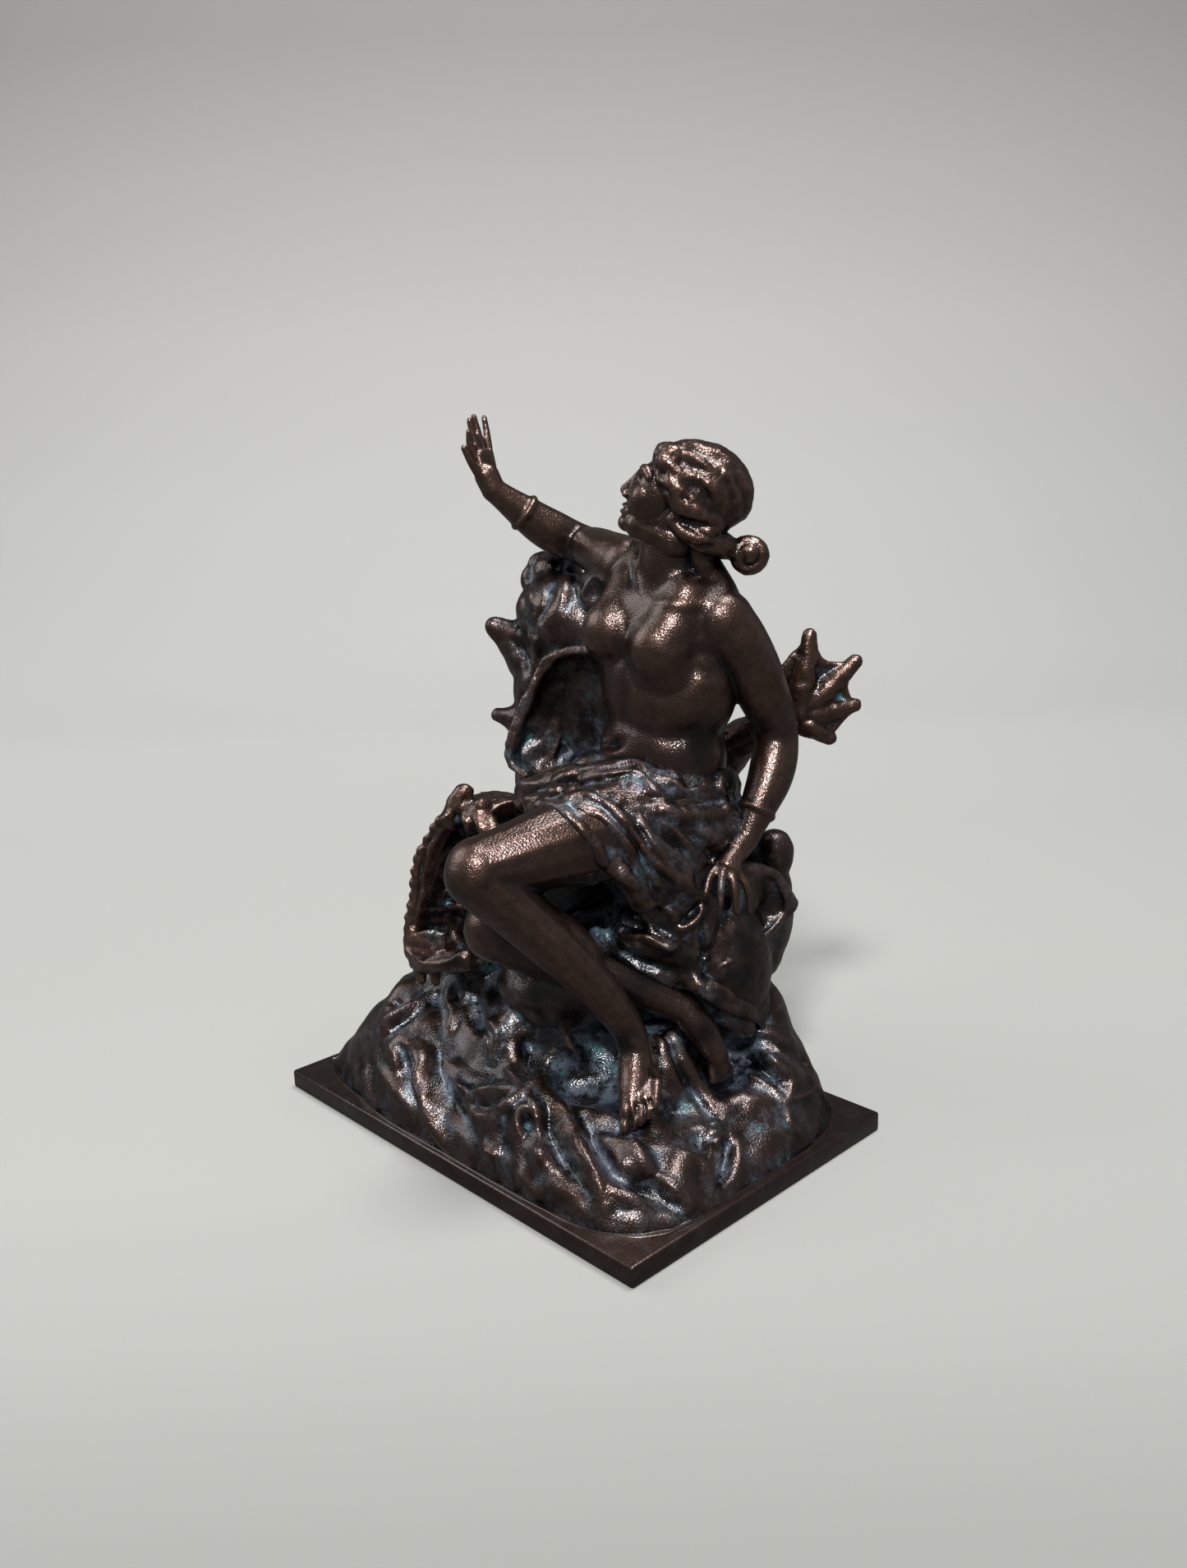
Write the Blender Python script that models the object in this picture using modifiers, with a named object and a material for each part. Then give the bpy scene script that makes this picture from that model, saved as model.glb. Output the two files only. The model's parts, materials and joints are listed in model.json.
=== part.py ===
"""Andromeda on the rock, a desk sculpture cast in one piece.

The figure faces -Y, her left is +X and +Z is up. The origin is the middle of the plate's underside.
Each form is built up like clay, from lumps, strands and leaves that overlap, and is then fused to
one skin by a voxel remesh, smoothed, and worked over with strokes. Places and sizes are in
millimetres and go through MM, because the scene is in metres. The carving was laid out for a plate
CARVING_LEVEL thick, and it is set on the plate whatever the plate's thickness is.
"""

import math

import bmesh
import bpy
import numpy as np
from mathutils import Euler, Matrix, Vector

MM = 0.001

# The plate
PLATE_LENGTH = 146.0
PLATE_WIDTH = 100.0
PLATE_THICKNESS = 5.6
PLATE_ROUND = 0.8

# The carving, from the crown to the rock's root in the plate
CARVING_LEVEL = 5.6
ROCK_ROOT = 2.0
HEAD_PLACE = (25.0, 21.0, 176.5)
HEAD_TURN = -58.0
HEAD_LIFT = -26.0
NECK_RADIUS = 8.8
SHOULDER_RADIUS = 9.0
ELBOW_RADIUS = 6.1
WRIST_RADIUS = 3.6
FINGER_RADIUS = 1.15
BRACELET_RADIUS = 1.0
BUN_RADIUS = 5.2
BREAST_RADIUS = 9.4
THIGH_RADIUS = 13.0
KNEE_RADIUS = 8.8
ANKLE_RADIUS = 4.6
CLOTH_THICKNESS = 2.4
FIN_THICKNESS = 2.4
LIP_THICKNESS = 4.4
CRAG_RADIUS = 16.0

# The fineness of the carving's last skin, and the share of its triangles that is kept
FINE_VOXEL = 0.6
KEPT_SHARE = 0.0125

# The mound: how many rings make it, how steep its foot is and how softly the heights blend
MOUND_RINGS = 26
FOOT_STEEPNESS = 7
FOOT_SWELL = 0.62
HEIGHT_BLEND = 14

# The line of the rock's foot, in parts of half the plate's length and half its width
ROCK_FOOT = (
    (-0.96, -0.74), (-0.8, -0.84), (-0.63, -0.89), (-0.33, -0.95), (0, -0.96), (0.32, -0.96),
    (0.54, -0.94), (0.7, -0.92), (0.82, -0.85), (0.92, -0.72), (0.965, -0.52), (0.97, -0.24),
    (0.97, 0.1), (0.96, 0.4), (0.89, 0.7), (0.78, 0.9), (0.58, 0.96), (0.27, 0.97), (-0.07, 0.97),
    (-0.41, 0.96), (-0.68, 0.92), (-0.88, 0.78), (-0.96, 0.5), (-0.98, 0.1), (-0.985, -0.36),
)
# The height that the mound is led to at a few places
ROCK_HEIGHTS = (
    (-66, -30, 14), (-60, -29, 21), (-52, -28, 30), (-46, -24, 38), (-40, -16, 43), (-30, -31, 34),
    (-20, -38, 27), (-8, -38, 26), (5, -38, 26), (20, -35, 29), (35, -38, 20), (50, -28, 20),
    (61, -32, 13), (62, -10, 16), (65, 8, 18), (62, 28, 27), (54, 41, 33), (43, 38, 48),
    (-25, -10, 48), (0, -22, 40), (12, -12, 42), (25, -20, 22), (38, 0, 38), (47, 13, 18),
    (52, -8, 19), (-66, -8, 24), (-62, 10, 34), (-58, 28, 28), (-40, 42, 38), (-10, 42, 44),
    (14, 40, 54), (57, 14, 20), (38, -16, 22),
)
# Ridges and furrows that run down the mound: knots, height, width
ROCK_STROKES = (
    (((-46, -27, 40), (-38, -36, 33), (-29, -42, 22), (-18, -46, 10)), 3.4, 3.6),
    (((-28, -31, 36), (-21, -38, 29), (-14, -42, 22), (-5, -46, 12)), 3.2, 3.4),
    (((-60, -33, 20), (-52, -39, 15), (-42, -43, 9)), 2.6, 3),
    (((-37, -30, 34), (-30, -37, 27), (-22, -42, 18)), -3, 3.4),
    (((-4, -36, 26), (4, -42, 20), (12, -46, 10)), -2.6, 4),
    (((27, -31, 27), (32, -37, 20), (37, -43, 12)), 3.6, 3.4),
    (((40, -30, 22), (46, -36, 16), (52, -42, 9)), -2.6, 3.4),
    (((50, -29, 20), (55, -34, 15), (60, -38, 9)), 3, 3.6),
    (((56, -16, 17), (62, -22, 14), (67, -28, 9)), 2.6, 4),
    (((46, 10, 34), (55, 22, 26), (61, 34, 16)), 3.6, 3.4),
    (((37, -3, 40), (44, 4, 30), (52, 8, 20)), 3, 3),
    (((20, -24, 24), (27, -20, 22), (34, -14, 24)), -3, 6),
)


def place(mm):
    """A point given in millimetres, in metres."""
    return Vector(mm) * MM


def turned(degrees):
    """A rotation from three Euler angles in degrees."""
    return Euler([math.radians(angle) for angle in degrees]).to_matrix().to_4x4()


def rounded(knots, steps=5, closed=False):
    """Points on a smooth curve through the knots."""
    knots = list(knots)
    count = len(knots)
    points = []
    for i in range(count if closed else count - 1):
        if closed:
            a, b, c, d = (knots[(i + k) % count] for k in (-1, 0, 1, 2))
        else:
            b, c = knots[i], knots[i + 1]
            a = knots[i - 1] if i else b * 2 - c
            d = knots[i + 2] if i + 2 < count else c * 2 - b
        for step in range(steps):
            t = step / steps
            points.append(
                (b * 2 + (c - a) * t + (a * 2 - b * 5 + c * 4 - d) * t**2
                 + (b * 3 - a - c * 3 + d) * t**3) / 2
            )
    if not closed:
        points.append(knots[-1])
    return points


class Clay:
    """One heap of clay: lumps and strands that overlap, to be fused by a voxel remesh."""

    def __init__(self, name, frame=None):
        self.name = name
        self.frame = frame or Matrix.Identity(4)
        self.mesh = bmesh.new()
        self.curve = bpy.data.curves.new(name + "_strands", "CURVE")
        self.curve.dimensions = "3D"
        self.curve.bevel_depth = 1.0
        self.curve.bevel_resolution = 4
        self.curve.resolution_u = 6
        self.curve.use_fill_caps = True

    def lump(self, centre, half, turn=(0, 0, 0)):
        """An ellipsoid of the given half sizes."""
        if not hasattr(half, "__len__"):
            half = (half, half, half)
        size = Matrix.Diagonal((*place(half), 1.0))
        matrix = self.frame @ Matrix.Translation(place(centre)) @ turned(turn) @ size
        bmesh.ops.create_uvsphere(
            self.mesh, u_segments=24, v_segments=16, radius=1.0, matrix=matrix
        )

    def strand(self, *knots):
        """A round strand through knots of (x, y, z, radius), with round ends."""
        spline = self.curve.splines.new("BEZIER")
        spline.bezier_points.add(len(knots) - 1)
        spline.radius_interpolation = "CARDINAL"
        for point, (x, y, z, radius) in zip(spline.bezier_points, knots):
            point.co = self.frame @ place((x, y, z))
            point.handle_left_type = "AUTO"
            point.handle_right_type = "AUTO"
            point.radius = radius * MM
        for x, y, z, radius in (knots[0], knots[-1]):
            self.lump((x, y, z), radius)

    def leaf(self, rows, thickness):
        """A closed leaf of even thickness through rows of knots, all rows equally long."""
        knots = [[self.frame @ place(knot) for knot in row] for row in rows]
        knots = list(zip(*[rounded(row) for row in knots]))
        knots = [rounded(column) for column in knots]
        faces = []
        for side in (0.5, -0.5):
            skin = []
            for i, line in enumerate(knots):
                skin.append([])
                for j, knot in enumerate(line):
                    along = knots[min(i + 1, len(knots) - 1)][j] - knots[max(i - 1, 0)][j]
                    across = line[min(j + 1, len(line) - 1)] - line[max(j - 1, 0)]
                    away = along.cross(across).normalized() * (side * thickness * MM)
                    skin[-1].append(self.mesh.verts.new(knot + away))
            faces.append(skin)
        front, back = faces
        rows, columns = len(front), len(front[0])
        for i in range(rows - 1):
            for j in range(columns - 1):
                for skin in faces:
                    self.mesh.faces.new(
                        (skin[i][j], skin[i + 1][j], skin[i + 1][j + 1], skin[i][j + 1])
                    )
        rim = [(i, 0) for i in range(rows)] + [(rows - 1, j) for j in range(1, columns)]
        rim += [(i, columns - 1) for i in range(rows - 2, -1, -1)]
        rim += [(0, j) for j in range(columns - 2, 0, -1)]
        for (i, j), (k, m) in zip(rim, rim[1:] + rim[:1]):
            self.mesh.faces.new((front[i][j], front[k][m], back[k][m], back[i][j]))

    def heap(self):
        """The lumps and strands as one mesh datablock, still overlapping."""
        if self.curve.splines:
            guide = bpy.data.objects.new(self.name + "_guide", self.curve)
            bpy.context.scene.collection.objects.link(guide)
            bpy.context.view_layer.update()
            ready = guide.evaluated_get(bpy.context.evaluated_depsgraph_get())
            tubes = bpy.data.meshes.new_from_object(ready)
            strands = bmesh.new()
            strands.from_mesh(tubes)
            bmesh.ops.remove_doubles(strands, verts=strands.verts, dist=0.00001)
            strands.to_mesh(tubes)
            strands.free()
            self.mesh.from_mesh(tubes)
            bpy.data.objects.remove(guide)
        bmesh.ops.recalc_face_normals(self.mesh, faces=self.mesh.faces)
        data = bpy.data.meshes.new(self.name)
        self.mesh.to_mesh(data)
        self.mesh.free()
        return data


def fused(clay, voxel, smoothing, bumps=()):
    """The heap as one skin: remeshed, smoothed and, for a rough form, displaced by clouds of noise."""
    form = bpy.data.objects.new(clay.name, clay.heap())
    bpy.context.scene.collection.objects.link(form)
    remesh = form.modifiers.new("fuse", "REMESH")
    remesh.mode = "VOXEL"
    remesh.voxel_size = voxel * MM
    smooth = form.modifiers.new("smooth", "SMOOTH")
    smooth.factor = 0.5
    smooth.iterations = smoothing
    for size, height in bumps:
        clouds = bpy.data.textures.new(clay.name + "_bumps", "CLOUDS")
        clouds.noise_scale = size * MM
        displace = form.modifiers.new("bumps", "DISPLACE")
        displace.texture = clouds
        displace.strength = height * MM
    bpy.context.view_layer.update()
    ready = form.evaluated_get(bpy.context.evaluated_depsgraph_get())
    skin = bpy.data.meshes.new_from_object(ready)
    bpy.data.objects.remove(form)
    return skin


def stroke(skin, knots, height, width):
    """A soft ridge along a line on a form, or a furrow where the height is negative."""
    line = np.array([tuple(point) for point in rounded([place(knot) for knot in knots])])
    spots = np.empty(len(skin.vertices) * 3, dtype=np.float32)
    aways = np.empty_like(spots)
    skin.vertices.foreach_get("co", spots)
    skin.vertices.foreach_get("normal", aways)
    spots = spots.reshape(-1, 3)
    aways = aways.reshape(-1, 3)
    nearest = np.full(len(spots), np.inf)
    along = np.zeros(len(spots))
    for i, (start, end) in enumerate(zip(line, line[1:])):
        run = end - start
        share = np.clip((spots - start) @ run / (run @ run), 0, 1)
        gap = np.linalg.norm(spots - start - share[:, None] * run, axis=1)
        closer = gap < nearest
        nearest[closer] = gap[closer]
        along[closer] = (i + share[closer]) / (len(line) - 1)
    taper = np.sqrt(np.clip(np.sin(np.pi * (0.06 + 0.88 * along)), 0, 1))
    push = height * MM * taper * np.exp(-((nearest / (width * MM)) ** 2))
    spots += aways * push[:, None].astype(np.float32)
    skin.vertices.foreach_set("co", spots.ravel())
    skin.update()


def torso():
    """Pelvis, belly, ribs, breasts, shoulders and neck."""
    c = Clay("torso")
    c.lump((18, 18, 90), (26.5, 20.5, 16))
    c.lump((18.5, 18, 106), (20, 16.5, 17))
    c.lump((20.5, 19, 127), (22.5, 16.6, 21), (0, 7, 0))
    c.lump((20.5, 21, 143), (22, 14.5, 14), (0, 14, 0))
    r = BREAST_RADIUS
    c.lump((28.8, 8.8, 136), (r, r + 0.6, r), (18, 0, 0))
    c.lump((11, 8.4, 140.5), (r, r + 0.4, r), (18, 0, 0))
    c.strand(
        (1, 25, 157.5, SHOULDER_RADIUS - 0.5), (10, 24.5, 154, 10), (22, 24, 150, 10.5),
        (34, 25, 147.5, 10), (42, 25.5, 145.5, SHOULDER_RADIUS),
    )
    c.strand((21, 23, 148, 11), (22.5, 20, 159, NECK_RADIUS), (25, 20.5, 170, NECK_RADIUS - 0.2))
    c.strand((25, 26, 163, 6), (36, 26, 152, 6))
    c.strand((20, 26, 163, 6), (8, 26, 160, 6))
    return c


def limbs():
    """Arms to the wrists and legs to the ankles."""
    c = Clay("limbs")
    c.strand(
        (2, 25, 157, 9), (-6, 27, 158.5, 7.8), (-15, 30.5, 160, 7), (-27, 35, 161.5, ELBOW_RADIUS),
        (-32.5, 28, 166, 6.5), (-36.5, 20.5, 172, 5.2), (-40, 13.5, 178, WRIST_RADIUS),
    )
    c.strand(
        (41, 25.5, 146.5, 9.2), (44, 28.5, 138, 8), (45, 33, 126, 7),
        (44, 39, 112.5, ELBOW_RADIUS), (45.8, 35, 103, 6.5), (46.6, 28, 94, 5.2),
        (46.8, 22.5, 86.5, WRIST_RADIUS),
    )
    c.strand(
        (28, 14, 92, THIGH_RADIUS + 2), (23, -8, 90.5, THIGH_RADIUS), (17.5, -28, 88.5, 10.2),
        (12.5, -40.5, 86, KNEE_RADIUS),
    )
    c.strand(
        (12.6, -41.5, 85, KNEE_RADIUS), (17.5, -36.5, 76, 8.2), (25, -28, 63, 7.8),
        (32, -19, 48, 5.8), (37.5, -12.5, 36, ANKLE_RADIUS),
    )
    c.lump((27, -24.5, 65), (6, 6, 14), (31, -27, 0))
    c.strand((8, 20, 86, THIGH_RADIUS + 1), (7, -8, 77, 12), (6, -30, 66, KNEE_RADIUS))
    c.strand((6, -31, 66, 8.5), (14, -16, 56.5, 8), (25, 1, 46, 6.4), (33.5, 13, 38, ANKLE_RADIUS))
    return c


def hands_and_feet():
    """Both hands and feet, and a bracelet on each wrist."""
    c = Clay("hands_and_feet")
    f = FINGER_RADIUS
    c.lump((36.5, -7.5, 29.5), (4.2, 4.6, 4.8))
    c.strand((37.5, -12.5, 35, 4.6), (43, -18.5, 30, 4.2), (49, -25, 25, 3.4))
    c.strand((38, -8, 28.5, 3.6), (45.5, -18, 25, 3.2), (51.5, -23.5, 22.5, 2.6))
    toes = (
        (49, -30.6, 1.9), (51.6, -29.4, 1.6), (53.2, -27.2, 1.5), (54.2, -25, 1.4), (54.6, -22.6, 1.3),
    )
    for toe, (x, y, size) in enumerate(toes):
        c.strand(
            (x - 5, y + 5.5, 25.4 - 0.5 * toe, size), (x - 1.6, y + 1.6, 24.6 - 0.4 * toe, size),
            (x, y, 22.6 - 0.3 * toe, size),
        )
    c.strand((33.5, 13, 38, 4.6), (39, 14.5, 31, 4.2), (43.5, 14, 24.5, 3.2))
    c.lump((34, 18.5, 35), (3.8, 4.4, 4.2))
    for toe in range(5):
        c.strand((42.5, 16.6 - 1.3 * toe, 25, 1.5), (45.4, 16.4 - 1.6 * toe, 20.6, 1.3))
    c.strand((-40, 13.5, 178, 3.6), (-41.4, 12.4, 182, 3.7))
    c.leaf((
        ((-41.2, 15.6, 179.5), (-40.6, 13, 179), (-40.2, 10.6, 179.5)),
        ((-43, 16.4, 184.5), (-42.8, 12.8, 184.5), (-41.8, 9.4, 184.5)),
        ((-44.4, 16.6, 188.6), (-44.4, 12.8, 189.2), (-43, 9.6, 188)),
    ), 3.4)
    c.strand((-44, 16, 187.5, f), (-46, 17, 193, f), (-47.3, 17.2, 198.6, f * 0.8))
    c.strand((-44.2, 13.8, 188.5, f), (-46.2, 13.8, 194, f), (-47.2, 13.2, 199, f * 0.8))
    c.strand((-43.8, 11.6, 188.5, f), (-45.2, 11, 193.4, f), (-45.8, 10.4, 197.8, f * 0.8))
    c.strand((-43, 9.4, 187, f), (-43.6, 8.4, 191, f), (-43.4, 8, 194.6, f * 0.8))
    c.strand((-41, 10.4, 181, f * 1.3), (-41.4, 7, 185.6, f * 1.1), (-42.2, 5, 190, f * 0.9))
    c.strand((46.8, 22.5, 86.5, 3.6), (46.8, 19, 84.6, 3.6))
    c.leaf((
        ((44.6, 19.6, 85), (47.2, 19.4, 86), (49.4, 19.8, 84.6)),
        ((44.8, 15.6, 83.2), (48, 15, 84), (50.2, 16.4, 82)),
        ((45.4, 12.4, 81.6), (48.4, 12, 81.8), (51, 14.4, 79.8)),
    ), 3)
    c.strand((45, 18, 83.6, f * 1.3), (43.2, 12, 82.6, f * 1.1), (43.2, 7.6, 80, f * 0.9))
    c.strand((46, 13, 81.8, f * 1.1), (46.4, 9, 80, f), (47.3, 5.8, 75.8, f * 0.85))
    c.strand((48, 12.4, 81.4, f * 1.1), (49.6, 9.4, 78.6, f), (50.8, 7.6, 73, f * 0.85))
    c.strand((49.6, 13.4, 80.6, f * 1.1), (51.6, 12.2, 77, f), (52.5, 12, 70.4, f * 0.85))
    c.strand((50.6, 15.4, 79.8, f), (52.8, 16, 76, f), (53.2, 16.6, 69.6, f * 0.8))
    bracelets = (
        ((-36, 21.5, 171.2), (-4, -7, 6), 4.9),
        ((46.6, 27.6, 93.4), (0, -6, -8), 5),
    )
    for centre, along, radius in bracelets:
        around = Vector(along).to_track_quat("Z", "Y").to_matrix()
        knots = []
        for step in range(13):
            angle = math.tau * step / 12
            reach = Vector((radius * math.cos(angle), radius * math.sin(angle), 0))
            knots.append((*(Vector(centre) + around @ reach), BRACELET_RADIUS))
        c.strand(*knots)
    return c


def head_frame():
    """Where the head is and how it is turned."""
    lifted = turned((0, 0, HEAD_TURN)) @ turned((HEAD_LIFT, 0, 0))
    return Matrix.Translation(place(HEAD_PLACE)) @ lifted


def head():
    """The head in its own frame: her left is +X, the face looks along -Y, the crown is +Z."""
    c = Clay("head", head_frame())
    c.lump((0, 3, 3.4), (10.2, 12.4, 10))
    c.lump((0, -3.4, -2), (8.6, 8.2, 11.6))
    c.strand(
        (-7, 1, -8.5, 2.4), (-3.4, -6.6, -11.2, 2.8), (0, -8.6, -11.8, 3), (3.4, -6.6, -11.2, 2.8),
        (7, 1, -8.5, 2.4),
    )
    for side in (-1, 1):
        c.lump((side * 4.8, -7.4, -3), (3.6, 3.6, 4.4))
        c.strand((side * 7, -7.6, 3, 1.3), (side * 4, -10, 3.8, 1.4), (side * 1.4, -10.8, 3, 1.3))
        c.lump((side * 1.5, -11.8, -4.6), (1.1, 1.3, 1))
        c.lump((side * 3.8, -9.4, 0.6), (1.9, 1.4, 1.1))
    c.strand((0, -10.6, 3, 1.2), (0, -12.2, -1, 1.2), (0, -13.6, -4, 1.4))
    c.lump((0, -11, -7.5), (2.7, 1.2, 0.8))
    c.lump((0, -10.8, -9), (2.2, 1.2, 0.9))
    return c


def hair():
    """Hair drawn back in waves to a roll over the nape and a bun, with locks down the back."""
    c = Clay("hair", head_frame())
    c.lump((0, 5, 4), (11.6, 13, 10.6))
    for side in (-1, 1):
        c.strand(
            (side * 1.5, -9, 9.5, 2), (side * 7, -6.6, 7.5, 2.8), (side * 10.4, -1, 2, 3.2),
            (side * 10.6, 5, -2.5, 3.2), (side * 8.6, 12, -4.5, 3.2), (side * 4, 16.6, -5, 3),
        )
        c.strand(
            (side * 1.5, -6, 12.2, 2.2), (side * 7.5, -3, 10, 2.8), (side * 11, 4, 5, 2.8),
            (side * 9.4, 12, 1.5, 2.8), (side * 3, 17, -1, 2.6),
        )
        c.strand(
            (side * 1.5, 0, 13.8, 2), (side * 7, 4, 11.8, 2.6), (side * 8.6, 12, 7, 2.6),
            (side * 3, 16.6, 3.5, 2.4),
        )
        c.strand(
            (side * 8, 1, -8, 1.8), (side * 8.6, 7, -9.6, 2.8), (side * 6.4, 13, -8.4, 3),
            (side * 1, 18, -6.8, 3),
        )
    c.lump((0, 22.5, -6.5), BUN_RADIUS)
    c.strand((2, 13, -9, 3), (1.4, 17, -15, 2.6), (0.6, 20.5, -21, 2.2), (2, 22, -27, 1.6))
    c.strand((-3, 13, -9, 2.8), (-3.6, 17, -15, 2.4), (-4, 21, -22, 2))
    return c


def cloth():
    """The drapery round the hips and over the rock, with a hollow of cloth behind her right side."""
    c = Clay("cloth")
    c.lump((18, 18, 88.5), (28.5, 23, 17.5))
    c.lump((28, 8, 83), (16.6, 17.6, 15.6))
    c.strand((28, 14, 92, 16), (23.5, -6, 90.5, 13.8), (21, -13.5, 90, 12.6))
    c.strand((8, 16, 86, 16), (7, 4, 82, 13.6))
    c.lump((27, 12, 62), (18.5, 16.5, 23))
    c.lump((36, 16, 48), (13.5, 11.5, 13.5))
    # roll at the waist
    c.strand(
        (-11, -8, 95, 2), (-3, -10, 98.5, 3), (7, -9.6, 103, 2.4), (17, -5.6, 105.6, 2.4),
        (26, 1, 106.6, 2.2), (33.6, 8, 101.6, 2.4), (38.6, 16.5, 100.6, 2.8), (40, 23, 102, 2.8),
        (36, 32, 100, 2.4), (24, 38, 99, 2.4), (4, 37, 98, 2.4), (-8, 24, 97, 2.4),
        (-11, 8, 95, 2.2),
    )
    c.strand(
        (10, -12, 101, 1.8), (20, -9, 102.6, 2), (28, -5, 102, 2), (36, 3, 96.5, 2),
        (42, 12, 95, 2), (46, 24, 92, 2.2),
    )
    # folds across the lap
    c.strand(
        (-8, -12, 91, 1.8), (2, -18, 96, 1.8), (12, -18, 100.5, 1.8), (20, -14, 102, 2),
        (30, -9.5, 99, 2), (37, -7.5, 90.5, 2.2), (43.6, -2, 82.6, 2.2), (47, 3, 76.6, 1.8),
    )
    c.strand(
        (3, -25, 92.5, 1.4), (12, -21, 99, 1.7), (22, -18.4, 99, 2), (30, -17.6, 94.4, 2.2),
        (34.6, -16.4, 84, 2.4), (37, -8, 73.4, 2.4), (34, -2, 70, 2),
    )
    c.strand((27, -13, 97.5, 1.5), (33.4, -12, 88, 1.7), (37.4, -6.5, 79.5, 1.8))
    c.strand((34, -2, 99.5, 1.6), (39.6, 1, 92, 1.9), (43.8, 4, 85, 1.8))
    c.strand((38.5, 5, 97.5, 1.6), (43.4, 8.4, 90, 1.8), (45.6, 10, 84.5, 1.6))
    # the swags beside her shin
    c.strand((36, -5, 74, 2.2), (38.5, -2.4, 69.5, 2.4), (43, 4, 68.6, 2))
    c.strand((26, -4, 63.5, 1.8), (33, -2.4, 61.5, 2.4), (38, 0, 61.5, 2.2), (41.6, 3, 63, 1.6))
    c.strand(
        (20, -12, 60, 1.6), (24, -6.6, 55.4, 2), (35, -2, 50.4, 2.2), (42, 5, 46.4, 2.2),
        (47, 10.4, 43.4, 2),
    )
    c.leaf((
        ((22, -9, 58), (20, 0, 60), (20, 10, 62)),
        ((33, -2, 51.5), (34, 4, 56), (34, 12, 60)),
        ((44, 8, 45.5), (45, 10, 54), (44, 14, 62)),
    ), 5)
    # the fall under her hand and the flap beside it
    c.strand((49, 12, 72, 2), (48, 13, 60, 2.4), (45.4, 12, 48, 2.4))
    c.strand((44, 11.5, 47, 2), (50, 20, 42, 2.4), (53, 31, 36, 2.6), (53.6, 40.6, 29.5, 2.2))
    c.leaf((
        ((44, 22, 80), (46, 18, 70), (45, 14.5, 60), (43, 11.5, 50)),
        ((47.6, 27.6, 79), (47, 26, 70), (44.6, 22, 60), (43, 14, 51)),
        ((50, 34, 75), (46, 33, 68), (43, 27, 60), (43.6, 18, 53)),
        ((51, 39, 66), (50.6, 38, 62.4), (48.6, 31, 57), (46, 20, 53.6)),
    ), CLOTH_THICKNESS)
    # the hollow behind her right side
    c.leaf((
        (
            (2, 12, 134.5), (-6, 16.4, 134), (-14.6, 13.4, 132), (-19.6, 9.6, 124),
            (-24, 5.2, 112.2), (-25, 3, 101.6), (-17.5, 3, 99.6),
        ),
        (
            (2, 20, 132), (-6, 22, 131), (-17, 18.5, 129), (-22, 14.5, 120), (-25, 10.5, 110),
            (-24, 7, 100), (-17, 7, 95),
        ),
        (
            (-1, 24, 122), (-4, 24, 120), (-9, 25, 116), (-14, 22, 112), (-17, 19, 106),
            (-17, 14, 98), (-12, 10, 93),
        ),
    ), CLOTH_THICKNESS)
    c.strand((-3, 16, 122, 2.4), (-9, 14, 110, 3), (-14, 6, 99, 3), (-18, 0, 96, 2.4))
    c.lump((-6, 12, 102), (9, 10, 12))
    return c


def foot_line(inset=0.0):
    """The line of the rock's foot on the plate, drawn in by a share of its size."""
    half = (PLATE_LENGTH / 2, PLATE_WIDTH / 2)
    corners = [place((x * half[0], y * half[1], 0)) * (1 - inset) for x, y in ROCK_FOOT]
    return rounded(corners, 6, closed=True)


def root():
    """A core under the mound that keeps the rough rock solid where it meets the plate."""
    c = Clay("root")
    line = foot_line(inset=0.03)
    low, high = (
        [c.mesh.verts.new((*knot.xy, level * MM)) for knot in line]
        for level in (CARVING_LEVEL - ROCK_ROOT, CARVING_LEVEL + ROCK_ROOT)
    )
    for i, corner in enumerate(low):
        c.mesh.faces.new((corner, low[i - 1], high[i - 1], high[i]))
    c.mesh.faces.new(low[::-1])
    c.mesh.faces.new(high)
    return c


def mound(clay):
    """The rock over the plate: rings from its foot inwards, each led to the height wanted there."""
    foot = foot_line()
    skin = [[clay.mesh.verts.new((*knot.xy, (CARVING_LEVEL - ROCK_ROOT) * MM)) for knot in foot]]
    for ring in range(MOUND_RINGS):
        part = 1 - ring / MOUND_RINGS
        rise = (1 - part**FOOT_STEEPNESS) ** FOOT_SWELL
        skin.append([])
        for knot in foot:
            spot = knot * part
            weights = total = 0.0
            for x, y, z in ROCK_HEIGHTS:
                gap = (spot - place((x, y, 0))).length_squared / MM**2
                weight = (gap + HEIGHT_BLEND) ** -2
                weights += weight
                total += weight * z
            spot.z = (CARVING_LEVEL + (total / weights - CARVING_LEVEL) * rise) * MM
            skin[-1].append(clay.mesh.verts.new(spot))
    for outer, inner in zip(skin, skin[1:]):
        for i, corner in enumerate(outer):
            clay.mesh.faces.new((corner, outer[i - 1], inner[i - 1], inner[i]))
    clay.mesh.faces.new(skin[-1])
    clay.mesh.faces.new(skin[0][::-1])


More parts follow.
